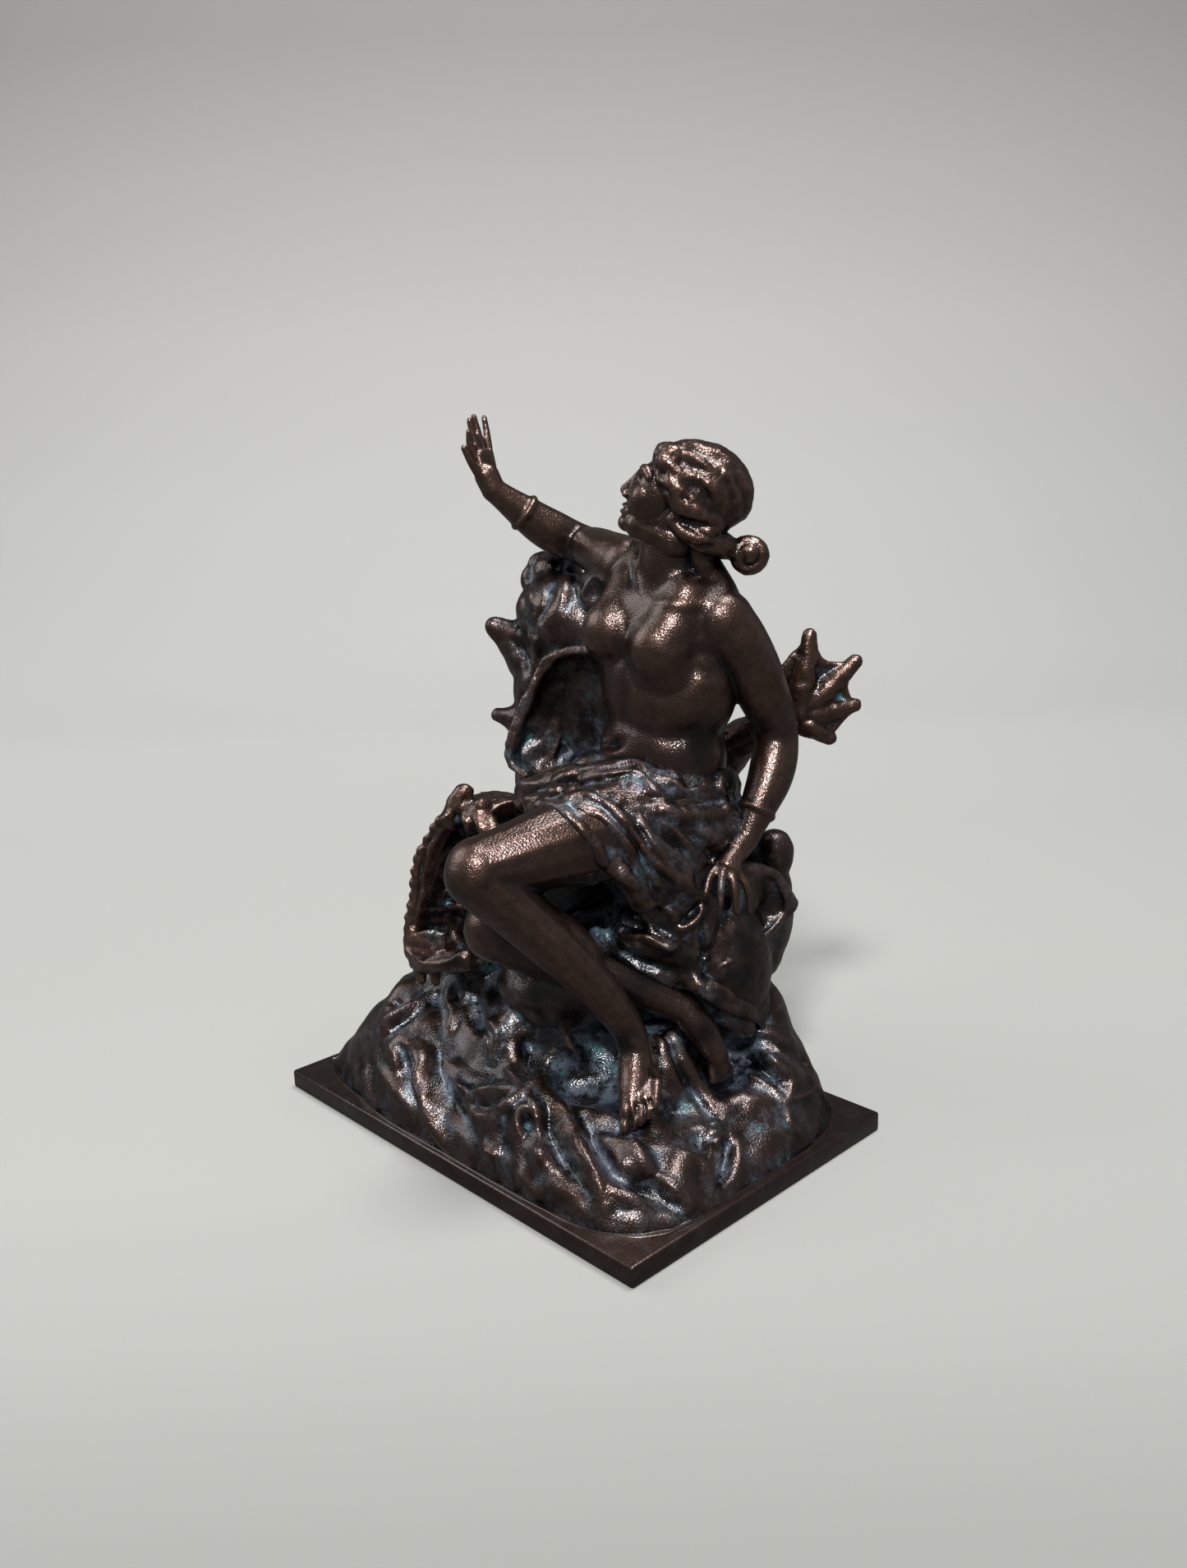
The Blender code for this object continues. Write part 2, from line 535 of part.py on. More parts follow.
def rock():
    """The rock: mound over the plate, seat, and the crag behind her right side."""
    c = Clay("rock")
    mound(c)
    c.lump((22, 24, 48), (30, 21, 30))
    c.lump((6, 0, 44), (22, 24, 18))
    c.lump((-24, 28, 52), (26, 17, 30))
    r = CRAG_RADIUS
    c.strand(
        (-33, 33, 40, r + 4), (-33, 33, 70, r + 1), (-34, 33, 95, r), (-33, 33, 118, r),
        (-34, 34, 138, r - 2), (-38, 35, 150, r - 7),
    )
    c.strand((-42, 32, 150, 6), (-43, 34, 155, 4))
    c.strand((-40, 27, 128, 9), (-46, 23, 134, 6), (-50, 19.6, 137, 3))
    c.strand((-38, 27, 106, 9), (-44, 22, 108, 6), (-49, 18.6, 109.5, 2.8))
    c.strand((-34, 30, 142, 12), (-22, 27, 140, 11), (-12, 29, 136, 9))
    c.lump((-20, 24, 146), (7, 6, 7))
    c.lump((-22, 29, 118), (13, 12, 26))
    c.lump((-12, 32, 104), (18, 12, 30))
    c.lump((41.5, 41.5, 77), (6, 6, 7))
    c.lump((36, 40, 60), (11, 11, 22))
    return c


def monster():
    """The sea monster: gaping head below her knees, body round the back of the rock, tail fin."""
    c = Clay("monster")
    # the lips, and the wall of the mouth behind them
    c.strand(
        (-14, -14, 85, 3), (-20, -14, 89, 3.2), (-26, -15.6, 90, 3), (-30.6, -19.4, 84.6, 2.5),
        (-34.6, -23.4, 74.5, 2.4), (-35.8, -25, 64, 2.4), (-37.2, -26.8, 53.4, 2.7),
        (-33.4, -28.6, 47, 3), (-24.6, -29.6, 48, 3), (-13, -27, 51, 3),
    )
    c.leaf((
        (
            (-16, -15, 87), (-25, -16, 89.6), (-31.4, -21, 81), (-35.4, -25, 68), (-37, -27, 54),
            (-29, -29, 47), (-16, -27, 50),
        ),
        (
            (-16, -8, 90), (-27, -8, 91), (-35, -13.4, 82), (-38.4, -17, 68), (-39, -20, 51),
            (-30, -21, 44), (-16, -20, 46),
        ),
        (
            (-14, 0, 90), (-25, -1, 90), (-33, -3, 81), (-36, -5, 68), (-36, -7, 52),
            (-30, -8, 44), (-14, -8, 46),
        ),
    ), LIP_THICKNESS)
    c.lump((-30, 0, 69), (11, 10, 20))
    c.lump((-18, 2, 70), (14, 9, 21))
    c.strand((-27.5, -18, 87, 3.2), (-26.4, -16.4, 92, 3), (-25.2, -14.9, 95, 2.8))
    c.strand((-21.6, -15, 88, 3.4), (-19, -13.6, 92, 2.4))
    c.leaf((
        ((-28.8, -33, 57), (-25, -30, 57.6), (-21.4, -26.6, 57)),
        ((-28.4, -34, 51), (-25, -31.4, 50.4), (-21, -27.6, 50.4)),
    ), 3)
    c.strand((-32.4, -29, 46, 2.4), (-31, -29.6, 42, 1.8), (-29.6, -30, 38.6, 1.1))
    c.strand((-25.6, -29, 46, 2), (-24.6, -29, 42.4, 1.5), (-24, -29, 39, 1))
    for rise in range(5):
        z = 58 + 4.2 * rise
        c.strand((-35, -14, z, 1.3), (-28, -9, z + 1.6, 2), (-19, -8, z + 0.6, 2), (-12, -10, z, 1.6))
    # body round the back and the tail
    c.strand(
        (-38, 4, 62, 15), (-52, 18, 46, 14), (-48, 36, 34, 12.5), (-22, 44, 34, 12),
        (4, 46, 46, 12), (12, 46, 70, 10.5), (12, 47, 90, 8.4), (19, 50, 103, 6.6),
        (30.5, 52.6, 110.5, 5.2), (40, 55, 116, 4.4),
    )
    # the fin, four ribs with a web between them
    root = (39, 55, 114)
    tips = ((42.2, 56.6, 137), (50.8, 65.6, 129.2), (51, 65.6, 117), (46.2, 60.4, 107.8))
    notches = ((45.2, 59.6, 130.6), (50, 64.2, 122.6), (49.4, 63.2, 112))
    for tip in tips:
        middle = (Vector(root) + Vector(tip)) / 2 + Vector((0.6, -1, 0))
        c.strand((*root, 4), (*middle, 2.8), (*tip, 1.7))
    edge = [(37.4, 52.4, 128), tips[0], notches[0], tips[1], notches[1], tips[2], notches[2], tips[3]]
    c.leaf((
        [Vector(root) + (Vector(knot) - Vector(root)) * 0.1 for knot in edge],
        [Vector(root) + (Vector(knot) - Vector(root)) * 0.55 for knot in edge],
        [Vector(root) + (Vector(knot) - Vector(root)) * 0.96 for knot in edge],
    ), FIN_THICKNESS)
    return c


def carving():
    """All the forms worked over and joined as one mesh that still overlaps."""
    body = fused(torso(), 1.0, 13)
    stroke(body, ((21, 1, 148), (21, 0, 136), (19, -1, 122), (18.3, -1, 112)), -0.9, 3)
    stroke(body, ((38, 6, 124), (30, 2, 119), (20, 0, 118), (8, 3, 122)), -0.7, 2.4)
    drape = fused(cloth(), 0.8, 2)
    stone = fused(rock(), 1.4, 6, ((14, 5), (6, 2.4)))
    for knots, height, width in ROCK_STROKES:
        stroke(stone, knots, height, width)
    spots = [max(corner.co.z, (CARVING_LEVEL - ROCK_ROOT) * MM) for corner in stone.vertices]
    for corner, level in zip(stone.vertices, spots):
        corner.co.z = level
    skins = [
        root().heap(),
        body,
        fused(limbs(), 0.9, 8),
        fused(hands_and_feet(), 0.5, 2),
        fused(head(), 0.6, 3),
        fused(hair(), 0.6, 2),
        drape,
        stone,
        fused(monster(), 0.8, 3),
    ]
    whole = bmesh.new()
    for skin in skins:
        whole.from_mesh(skin)
    heap = bpy.data.meshes.new("carving")
    whole.to_mesh(heap)
    whole.free()
    rough = bpy.data.objects.new("carving", heap)
    bpy.context.scene.collection.objects.link(rough)
    fuse = rough.modifiers.new("fuse", "REMESH")
    fuse.mode = "VOXEL"
    fuse.voxel_size = FINE_VOXEL * MM
    thin = rough.modifiers.new("thin", "DECIMATE")
    thin.ratio = KEPT_SHARE
    bpy.context.view_layer.update()
    ready = rough.evaluated_get(bpy.context.evaluated_depsgraph_get())
    joined = outer_skin(bpy.data.meshes.new_from_object(ready))
    bpy.data.objects.remove(rough)
    return joined


def outer_skin(skin):
    """The largest connected skin: what the remesh leaves round sealed hollows is dropped."""
    whole = bmesh.new()
    whole.from_mesh(skin)
    waiting = set(whole.verts)
    largest = set()
    while waiting:
        island = {waiting.pop()}
        edge = list(island)
        while edge:
            corner = edge.pop()
            for link in corner.link_edges:
                other = link.other_vert(corner)
                if other not in island:
                    island.add(other)
                    edge.append(other)
        waiting -= island
        if len(island) > len(largest):
            largest = island
    bmesh.ops.delete(whole, geom=[v for v in whole.verts if v not in largest], context="VERTS")
    whole.to_mesh(skin)
    whole.free()
    return skin


def plate():
    """The plate, with its edges a little rounded."""
    bpy.ops.mesh.primitive_cube_add(size=1, location=(0, 0, PLATE_THICKNESS / 2 * MM))
    slab = bpy.context.object
    slab.name = "plate"
    slab.scale = (PLATE_LENGTH * MM, PLATE_WIDTH * MM, PLATE_THICKNESS * MM)
    bpy.ops.object.transform_apply(location=False, rotation=False, scale=True)
    bevel = slab.modifiers.new("rounding", "BEVEL")
    bevel.width = PLATE_ROUND * MM
    bevel.segments = 2
    return slab


def main():
    for old in list(bpy.data.objects):
        bpy.data.objects.remove(old)
    andromeda = bpy.data.collections.new("andromeda")
    bpy.context.scene.collection.children.link(andromeda)
    guides = bpy.data.collections.new("guides")
    bpy.context.scene.collection.children.link(guides)

    slab = plate()
    slab.users_collection[0].objects.unlink(slab)
    guides.objects.link(slab)
    slab.hide_render = True
    slab.display_type = "WIRE"

    sculpture = bpy.data.objects.new("sculpture", carving())
    sculpture.location.z = (PLATE_THICKNESS - CARVING_LEVEL) * MM
    andromeda.objects.link(sculpture)
    union = sculpture.modifiers.new("plate", "BOOLEAN")
    union.operation = "UNION"
    union.solver = "EXACT"
    union.object = slab

    bronze = bpy.data.materials.new("bronze_paint")
    bronze.use_nodes = True
    finish = bronze.node_tree.nodes["Principled BSDF"]
    finish.inputs["Base Color"].default_value = (0.055, 0.032, 0.024, 1)
    finish.inputs["Roughness"].default_value = 0.38
    finish.inputs["Metallic"].default_value = 0.7
    sculpture.data.materials.append(bronze)


main()
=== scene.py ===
import json
import math

import bmesh
import bpy
import numpy as np
from mathutils import Euler, Matrix, Vector
from mathutils.bvhtree import BVHTree

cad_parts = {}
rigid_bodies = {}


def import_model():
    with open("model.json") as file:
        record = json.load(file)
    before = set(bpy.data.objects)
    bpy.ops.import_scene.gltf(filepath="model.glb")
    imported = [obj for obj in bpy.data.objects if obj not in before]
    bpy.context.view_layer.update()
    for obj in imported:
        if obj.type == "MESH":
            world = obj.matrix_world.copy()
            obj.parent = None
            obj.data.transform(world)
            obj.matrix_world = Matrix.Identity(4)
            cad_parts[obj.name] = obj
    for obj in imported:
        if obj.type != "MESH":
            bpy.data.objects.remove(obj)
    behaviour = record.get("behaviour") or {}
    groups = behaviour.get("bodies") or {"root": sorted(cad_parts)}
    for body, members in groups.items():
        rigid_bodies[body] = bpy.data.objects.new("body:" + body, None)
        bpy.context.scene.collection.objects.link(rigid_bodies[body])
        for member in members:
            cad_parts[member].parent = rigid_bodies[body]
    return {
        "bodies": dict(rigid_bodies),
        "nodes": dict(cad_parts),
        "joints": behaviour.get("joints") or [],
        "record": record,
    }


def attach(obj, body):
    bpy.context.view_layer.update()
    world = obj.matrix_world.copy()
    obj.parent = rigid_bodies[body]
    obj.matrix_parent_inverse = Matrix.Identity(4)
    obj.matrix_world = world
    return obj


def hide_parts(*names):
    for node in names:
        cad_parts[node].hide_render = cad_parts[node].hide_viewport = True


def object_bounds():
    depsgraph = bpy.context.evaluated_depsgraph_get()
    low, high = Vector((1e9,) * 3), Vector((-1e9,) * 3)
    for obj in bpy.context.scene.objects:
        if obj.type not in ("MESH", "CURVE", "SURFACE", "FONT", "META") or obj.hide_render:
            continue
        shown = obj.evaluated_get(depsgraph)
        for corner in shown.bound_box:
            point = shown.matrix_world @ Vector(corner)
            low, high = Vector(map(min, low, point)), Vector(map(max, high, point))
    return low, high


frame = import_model()
cad_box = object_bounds()

# The camera stands 39 cm off, to her left and a little above her knees, as the plate's corners in the
# picture give it. Its frame is 1445 by 1909, and the places seen in it below are counted in that frame.
MM = 0.001
FRAME_SIZE = (1445, 1909)
CAMERA_PLACE = Vector((254.2, -231.65, 184.32)) * MM
CAMERA_AZIMUTH = 46.2
CAMERA_ELEVATION = 14.03
CAMERA_ROLL = -1.6
FOCAL_PIXELS = 1554.7
SENSOR_MM = 36.0

camera = bpy.data.objects.new("camera", bpy.data.cameras.new("camera"))
bpy.context.scene.collection.objects.link(camera)
bpy.context.scene.camera = camera
camera.data.sensor_fit = "VERTICAL"
camera.data.sensor_height = SENSOR_MM
camera.data.lens = FOCAL_PIXELS / FRAME_SIZE[1] * SENSOR_MM
camera.data.clip_start = 0.01
azimuth, elevation = math.radians(CAMERA_AZIMUTH), math.radians(CAMERA_ELEVATION)
backward = Vector((
    math.sin(azimuth) * math.cos(elevation),
    -math.cos(azimuth) * math.cos(elevation),
    math.sin(elevation),
))
camera_turn = backward.to_track_quat("Z", "Y").to_matrix().to_4x4()
camera_turn @= Matrix.Rotation(math.radians(CAMERA_ROLL), 4, "Z")
camera.matrix_world = Matrix.Translation(CAMERA_PLACE) @ camera_turn


# The room is a sheet of pale matt paper that runs from the floor up behind the sculpture in one sweep.
# A small bright lamp hangs near the camera, a large soft one stands on the left and one is overhead.
# The floor takes the sculpture's soft shadow, and the paper's colour carries painted shade, darker to the
# front and to the top, where its light falls off.
def linear(hexcode):
    """An sRGB hex colour as the linear values that Blender's materials take."""
    parts = [int(hexcode[i:i + 2], 16) / 255 for i in (1, 3, 5)]
    return [c / 12.92 if c <= 0.04045 else ((c + 0.055) / 1.055) ** 2.4 for c in parts] + [1.0]


def node(tree, kind, links=None, **settings):
    """Adds a node with its settings, and links its inputs to other nodes' outputs or sets them."""
    made = tree.nodes.new(kind)
    for name, value in settings.items():
        setattr(made, name, value)
    for name, value in (links or {}).items():
        socket = made.inputs[name]
        if isinstance(value, bpy.types.NodeSocket):
            tree.links.new(value, socket)
        else:
            socket.default_value = value
    return made


# The paper's colour at places along it, in metres from under the sculpture, painted darker to the front
# and the top as painted shade
PAPER_SHADED_COLOURS = (
    (-0.16, "#A0A09C"), (-0.10, "#AFAFAB"), (-0.04, "#B6B6B2"), (0.10, "#B8B9B4"), (0.30, "#C0C0BC"),
    (0.52, "#CECECA"), (0.75, "#D4D4D1"), (1.00, "#D6D6D3"), (1.20, "#D4D3D1"), (1.37, "#C8C6C4"),
    (1.50, "#B7B5B2"),
)
PAPER_REFLECTED = "#51504E"
paper = bpy.data.materials.new("matt seamless paper")
paper.use_nodes = True
paper.node_tree.nodes.clear()
first, last = PAPER_SHADED_COLOURS[0][0], PAPER_SHADED_COLOURS[-1][0]
run = node(paper.node_tree, "ShaderNodeMapRange", {
    "Value": node(paper.node_tree, "ShaderNodeAttribute", attribute_name="run").outputs["Fac"],
    "From Min": first, "From Max": last,
})
tone = node(paper.node_tree, "ShaderNodeValToRGB", {"Fac": run.outputs["Result"]})
for _ in PAPER_SHADED_COLOURS[2:]:
    tone.color_ramp.elements.new(0.5)
for stop, (along, colour) in zip(tone.color_ramp.elements, PAPER_SHADED_COLOURS):
    stop.position = (along - first) / (last - first)
    stop.color = linear(colour)
# a metal object that mirrored the paper at its full value would look chalky, so reflections see it dimmer
dimmer = node(paper.node_tree, "ShaderNodeMix", {
    "Factor": node(paper.node_tree, "ShaderNodeLightPath").outputs["Is Glossy Ray"],
    "A": tone.outputs["Color"], "B": linear(PAPER_REFLECTED),
}, data_type="RGBA")
shade = node(paper.node_tree, "ShaderNodeBsdfDiffuse", {"Color": dimmer.outputs["Result"]})
node(paper.node_tree, "ShaderNodeOutputMaterial", {"Surface": shade.outputs[0]})

SWEEP_WIDTH = 3.0
SWEEP_BACK = 1.1
SWEEP_BEND = 0.5
sweep = bmesh.new()
profile = [(-1.6, 0.0), (SWEEP_BACK - SWEEP_BEND, 0.0)]
for step in range(1, 13):
    angle = math.pi / 2 * step / 12
    profile.append((
        SWEEP_BACK - SWEEP_BEND + SWEEP_BEND * math.sin(angle),
        SWEEP_BEND - SWEEP_BEND * math.cos(angle),
    ))
profile.append((SWEEP_BACK, 2.2))
rows = [[sweep.verts.new((side * SWEEP_WIDTH / 2, y, z)) for y, z in profile] for side in (-1, 1)]
runs = [profile[0][0]]
for start, end in zip(profile, profile[1:]):
    runs.append(runs[-1] + math.dist(start, end))
for i in range(len(profile) - 1):
    sweep.faces.new((rows[0][i], rows[1][i], rows[1][i + 1], rows[0][i + 1]))
bmesh.ops.rotate(sweep, verts=sweep.verts, matrix=Matrix.Rotation(azimuth, 3, "Z"))
backdrop_mesh = bpy.data.meshes.new("backdrop")
sweep.to_mesh(backdrop_mesh)
sweep.free()
backdrop_mesh.shade_smooth()
backdrop_mesh.attributes.new("run", "FLOAT", "POINT").data.foreach_set("value", runs * 2)
backdrop = bpy.data.objects.new("backdrop", backdrop_mesh)
bpy.context.scene.collection.objects.link(backdrop)
backdrop.data.materials.append(paper)

LAMPS = (
    ("key", (0.55, -0.72, 1.1), 0.2, 14.0),
    ("left", (-0.75, -0.55, 0.75), 0.8, 3.0),
    ("top", (0.1, 0.2, 1.3), 0.5, 9.5),
)
for name, spot, size, watts in LAMPS:
    lamp = bpy.data.objects.new(name, bpy.data.lights.new(name, "AREA"))
    bpy.context.scene.collection.objects.link(lamp)
    lamp.data.shape = "DISK"
    lamp.data.size = size
    lamp.data.energy = watts
    lamp.location = spot
    lamp.rotation_euler = (Vector((0, 0, 0.09)) - Vector(spot)).to_track_quat("-Z", "Y").to_euler()
world = bpy.data.worlds.new("room")
bpy.context.scene.world = world
world.use_nodes = True
world.node_tree.nodes["Background"].inputs["Color"].default_value = linear("#FFFFFF")
world.node_tree.nodes["Background"].inputs["Strength"].default_value = 0.16
bpy.context.scene.view_settings.view_transform = "Standard"


# The finish all over is a dark brown metallic paint under a satin varnish, on a cast resin. What stands
# proud is rubbed to copper, and a blue-grey wash lies in the hollows in scratchy patches, teal where it
# pooled. The hollows and the places where shade falls are painted nearly black: partly the real dark of
# the antiquing, partly painted shade. The varnish has the fine orange peel of spray, about half a
# millimetre from crest to crest, which breaks the highlights into sparkles.
PAINT_BROWN = "#553E37"
PAINT_DEEP = "#33261F"
RUBBED_COPPER = "#7A5C50"
WASH_BLUE = "#5A6474"
WASH_TEAL = "#64AEB4"
HOLLOW_SHADE_BLACK = "#08070A"
GRAIN_MM = 0.52
GRAIN_HEIGHT = 0.14
BRUSH_MM = 3.2
WASH_MM = 6.0


def patinated(name, wash=1.0, rub=1.0, teal=0.5, film=0.0, grain=1.0):
    """The metallic paint with rub, wash and painted shade, by the attributes hollow, proud, pool and
    shade.
    """
    made = bpy.data.materials.new(name)
    made.use_nodes = True
    tree = made.node_tree
    tree.nodes.clear()

    def noise(size_mm, detail, roughness):
        return node(tree, "ShaderNodeTexNoise", {
            "Vector": place_on, "Scale": 1 / (size_mm * MM), "Detail": detail, "Roughness": roughness,
        }).outputs["Fac"]

    def ranged(value, low, high, to_low=0.0, to_high=1.0):
        return node(tree, "ShaderNodeMapRange", {
            "Value": value, "From Min": low, "From Max": high, "To Min": to_low, "To Max": to_high,
        }).outputs["Result"]

    def times(a, b):
        return node(tree, "ShaderNodeMath", {0: a, 1: b}, operation="MULTIPLY").outputs[0]

    def higher(a, b):
        return node(tree, "ShaderNodeMath", {0: a, 1: b}, operation="MAXIMUM").outputs[0]

    def mixed(share, a, b):
        blend = node(tree, "ShaderNodeMix", {"Factor": share, "A": a, "B": b}, data_type="RGBA")
        return blend.outputs["Result"]

    place_on = node(tree, "ShaderNodeTexCoord").outputs["Object"]
    hollow_and_shade = node(tree, "ShaderNodeAttribute", attribute_name="hollow_and_shade").outputs["Fac"]
    proud = node(tree, "ShaderNodeAttribute", attribute_name="proud").outputs["Fac"]
    pool = node(tree, "ShaderNodeAttribute", attribute_name="pool").outputs["Fac"]
    shade = node(tree, "ShaderNodeAttribute", attribute_name="shade").outputs["Fac"]
    cloudy = noise(WASH_MM, 4.0, 0.6)
    brushed = noise(BRUSH_MM, 5.0, 0.7)
    streaks = noise(BRUSH_MM / 3, 3.0, 0.6)

    # brown, a little lighter and darker by the brush, and copper where it is rubbed
    brown = mixed(ranged(brushed, 0.1, 0.9), linear(PAINT_DEEP), linear(PAINT_BROWN))
    rubbed = ranged(times(proud, brushed), 0.15, 0.5, 0.0, 0.7 * rub)
    copper = mixed(rubbed, brown, linear(RUBBED_COPPER))
    # painted shade: the hollows go nearly black, partly the real dark of the antiquing and partly painted
    # shade, and the places listed for painted shade go black as well
    sunk_and_shaded = higher(ranged(hollow_and_shade, 0.05 - film, 0.48 - film / 3, 0.0, 0.97), times(shade, 0.93))
    dark = mixed(sunk_and_shaded, copper, linear(HOLLOW_SHADE_BLACK))
    # the wash: scratchy patches in the hollows, teal where most of it pooled, and duller than the paint
    scratchy = times(ranged(cloudy, 0.4, 0.62), ranged(streaks, 0.3, 0.65, 0.35, 1.0))
    washed = ranged(times(ranged(hollow_and_shade, 0.0, 1.0, film, 1.0), scratchy), 0.05, 0.55, 0.0, 0.85 * wash)
    washed = times(washed, ranged(shade, 0.0, 1.0, 1.0, 0.3))
    washed = higher(washed, times(pool, ranged(streaks, 0.38, 0.65, 0.05, 0.7)))
    greener = ranged(cloudy, 0.66 - 0.1 * teal, 0.8 - 0.1 * teal)
    greener = higher(greener, times(pool, ranged(cloudy, 0.44, 0.68, 0.1, 0.8)))
    tint = mixed(greener, linear(WASH_BLUE), linear(WASH_TEAL))
    colour = mixed(washed, dark, tint)
    peel = node(tree, "ShaderNodeBump", {
        "Height": noise(GRAIN_MM, 1.0, 0.5), "Distance": grain * GRAIN_HEIGHT * MM,
    }).outputs["Normal"]
    finish = node(tree, "ShaderNodeBsdfPrincipled", {
        "Base Color": colour, "Roughness": ranged(washed, 0.0, 1.0, 0.34, 0.6),
        "Metallic": ranged(washed, 0.0, 1.0, 0.9, 0.2), "Normal": peel,
        "Coat Weight": 1.0, "Coat Roughness": 0.17, "Coat Normal": peel,
    })
    node(tree, "ShaderNodeOutputMaterial", {"Surface": finish.outputs[0]})
    return made


# The rock fills the plate: a craggy mound with ridges and gullies that run down to its foot, a seat for
# the figure and a crag that stands behind her right arm. It is modelled like clay, from lumps and
# strands that overlap, fused to one skin, roughened and worked over with strokes.
MOUND_RINGS = 40
FOOT_STEEPNESS = 7
FOOT_SWELL = 0.62
HEIGHT_BLEND = 14
CARVING_LEVEL = 5.6
ROCK_ROOT = 1.2
PLATE_LENGTH = 146.0
PLATE_WIDTH = 100.0
CRAG_RADIUS = 16.0
ROCK_FOOT = (
    (-0.96, -0.74), (-0.8, -0.84), (-0.63, -0.89), (-0.33, -0.95), (0, -0.96), (0.32, -0.96),
    (0.54, -0.94), (0.7, -0.92), (0.82, -0.85), (0.92, -0.72), (0.965, -0.52), (0.97, -0.24),
    (0.97, 0.1), (0.96, 0.4), (0.89, 0.7), (0.78, 0.9), (0.58, 0.96), (0.27, 0.97), (-0.07, 0.97),
    (-0.41, 0.96), (-0.68, 0.92), (-0.88, 0.78), (-0.96, 0.5), (-0.98, 0.1), (-0.985, -0.36),
)
ROCK_HEIGHTS = (
    (-66, -30, 14), (-60, -29, 21), (-52, -28, 30), (-46, -24, 38), (-40, -16, 43), (-30, -31, 34),
    (-20, -38, 27), (-8, -38, 26), (5, -38, 26), (20, -35, 29), (35, -38, 20), (50, -28, 20),
    (61, -32, 13), (62, -10, 16), (65, 8, 18), (62, 28, 27), (54, 41, 33), (43, 38, 48),
    (-25, -10, 48), (0, -22, 40), (12, -12, 42), (25, -20, 22), (38, 0, 38), (47, 13, 18),
    (52, -8, 19), (-66, -8, 24), (-62, 10, 34), (-58, 28, 28), (-40, 42, 38), (-10, 42, 44),
    (14, 40, 54), (57, 14, 23), (38, -16, 22), (60, 26, 30),
)
# Ridges and furrows along lines seen in the picture: the line, its height and its width in millimetres
ROCK_LINES = (
    (((548, 1200), (548, 1219), (553, 1236), (548, 1255)), 2.3, 2.2),
    (((486, 1265), (505, 1277), (514, 1294), (512, 1318), (519, 1339), (524, 1361), (536, 1380),
      (548, 1399), (555, 1416)), 3.1, 2.6),
    (((534, 1274), (536, 1296), (543, 1322), (553, 1346), (567, 1370), (582, 1392)), -2.1, 2.4),
    (((493, 1284), (495, 1308), (500, 1332), (510, 1356), (522, 1380)), -2.3, 2.2),
    (((476, 1270), (483, 1289), (483, 1303)), 1.8, 1.8),
    (((462, 1274), (464, 1294), (476, 1318), (486, 1337)), 1.6, 2.2),
    (((438, 1294), (442, 1318), (452, 1342), (462, 1356)), -2.1, 2.0),
    (((445, 1303), (450, 1332), (462, 1351)), 1.6, 1.7),
    (((500, 1181), (476, 1195), (459, 1212), (452, 1236)), 2.1, 2.4),
    (((469, 1212), (481, 1222), (486, 1214)), -2.6, 2.6),
    (((534, 1205), (510, 1222), (486, 1234), (471, 1246), (466, 1260)), 2.3, 1.8),
    (((519, 1224), (500, 1236), (483, 1248), (478, 1260)), -1.8, 2.0),
    (((572, 1188), (577, 1219), (582, 1246), (589, 1255)), -2.6, 2.2),
    (((610, 1183), (620, 1212), (634, 1236)), 1.6, 4.0),
    (((637, 1229), (649, 1241), (658, 1248)), 1.8, 1.8),
    (((639, 1255), (646, 1279), (642, 1303)), -3.9, 4.4),
    (((690, 1248), (692, 1270), (704, 1284), (711, 1294)), 2.3, 1.8),
    (((553, 1318), (562, 1325), (572, 1330)), 2.1, 1.3),
    (((577, 1344), (591, 1346), (603, 1342)), -1.6, 1.3),
    (((666, 1356), (670, 1380), (682, 1404), (697, 1428), (716, 1452)), -2.3, 2.4),
    (((632, 1418), (644, 1442), (663, 1457)), 1.6, 2.2),
    (((586, 1392), (596, 1402), (606, 1406)), 1.6, 1.5),
    (((606, 1366), (610, 1390), (620, 1409)), -1.6, 2.4),
    (((684, 1350), (693, 1372), (703, 1395), (718, 1420), (728, 1442), (736, 1464)), 3.9, 2.6),
    (((716, 1376), (725, 1399), (741, 1423)), -2.3, 2.2),
    (((727, 1388), (746, 1392), (765, 1397), (783, 1416), (800, 1434), (821, 1448)), 2.6, 2.2),
    (((737, 1444), (755, 1453), (772, 1460), (788, 1469)), 1.8, 1.8),
    (((732, 1404), (746, 1427), (767, 1439), (790, 1453), (811, 1472)), -2.1, 2.0),
    (((790, 1434), (811, 1458), (835, 1481)), -2.1, 2.0),
    (((830, 1402), (849, 1413), (865, 1427)), 1.6, 2.4),
    (((884, 1385), (885, 1404), (883, 1427), (877, 1446)), -2.9, 2.0),
    (
        ((793, 1248), (811, 1262), (821, 1283), (830, 1306), (844, 1329), (858, 1348), (872, 1364)),
        -1.8, 1.7,
    ),
    (((802, 1257), (816, 1278), (823, 1301), (835, 1325)), 1.2, 1.0),
    (((870, 1264), (874, 1285), (872, 1306)), 2.9, 1.7),
    (((900, 1290), (914, 1311), (933, 1320), (954, 1339)), 1.2, 1.0),
    (((909, 1278), (926, 1285), (942, 1294), (956, 1304)), 2.3, 1.3),
    (((914, 1292), (933, 1306), (949, 1320)), -2.6, 1.7),
    (((874, 1241), (900, 1250), (923, 1257), (947, 1266), (961, 1273)), 2.3, 2.6),
    (((923, 1271), (947, 1280), (963, 1292)), 1.0, 1.0),
    (((956, 1301), (965, 1320), (958, 1343)), 0.9, 0.9),
    (((970, 1280), (991, 1320), (1005, 1343)), 1.0, 0.9),
    (((954, 1341), (982, 1332), (993, 1322)), 0.9, 0.9),
    (((958, 1343), (963, 1367), (977, 1383)), 0.9, 0.9),
    (((977, 1287), (986, 1297), (996, 1308)), -2.3, 2.2),
)
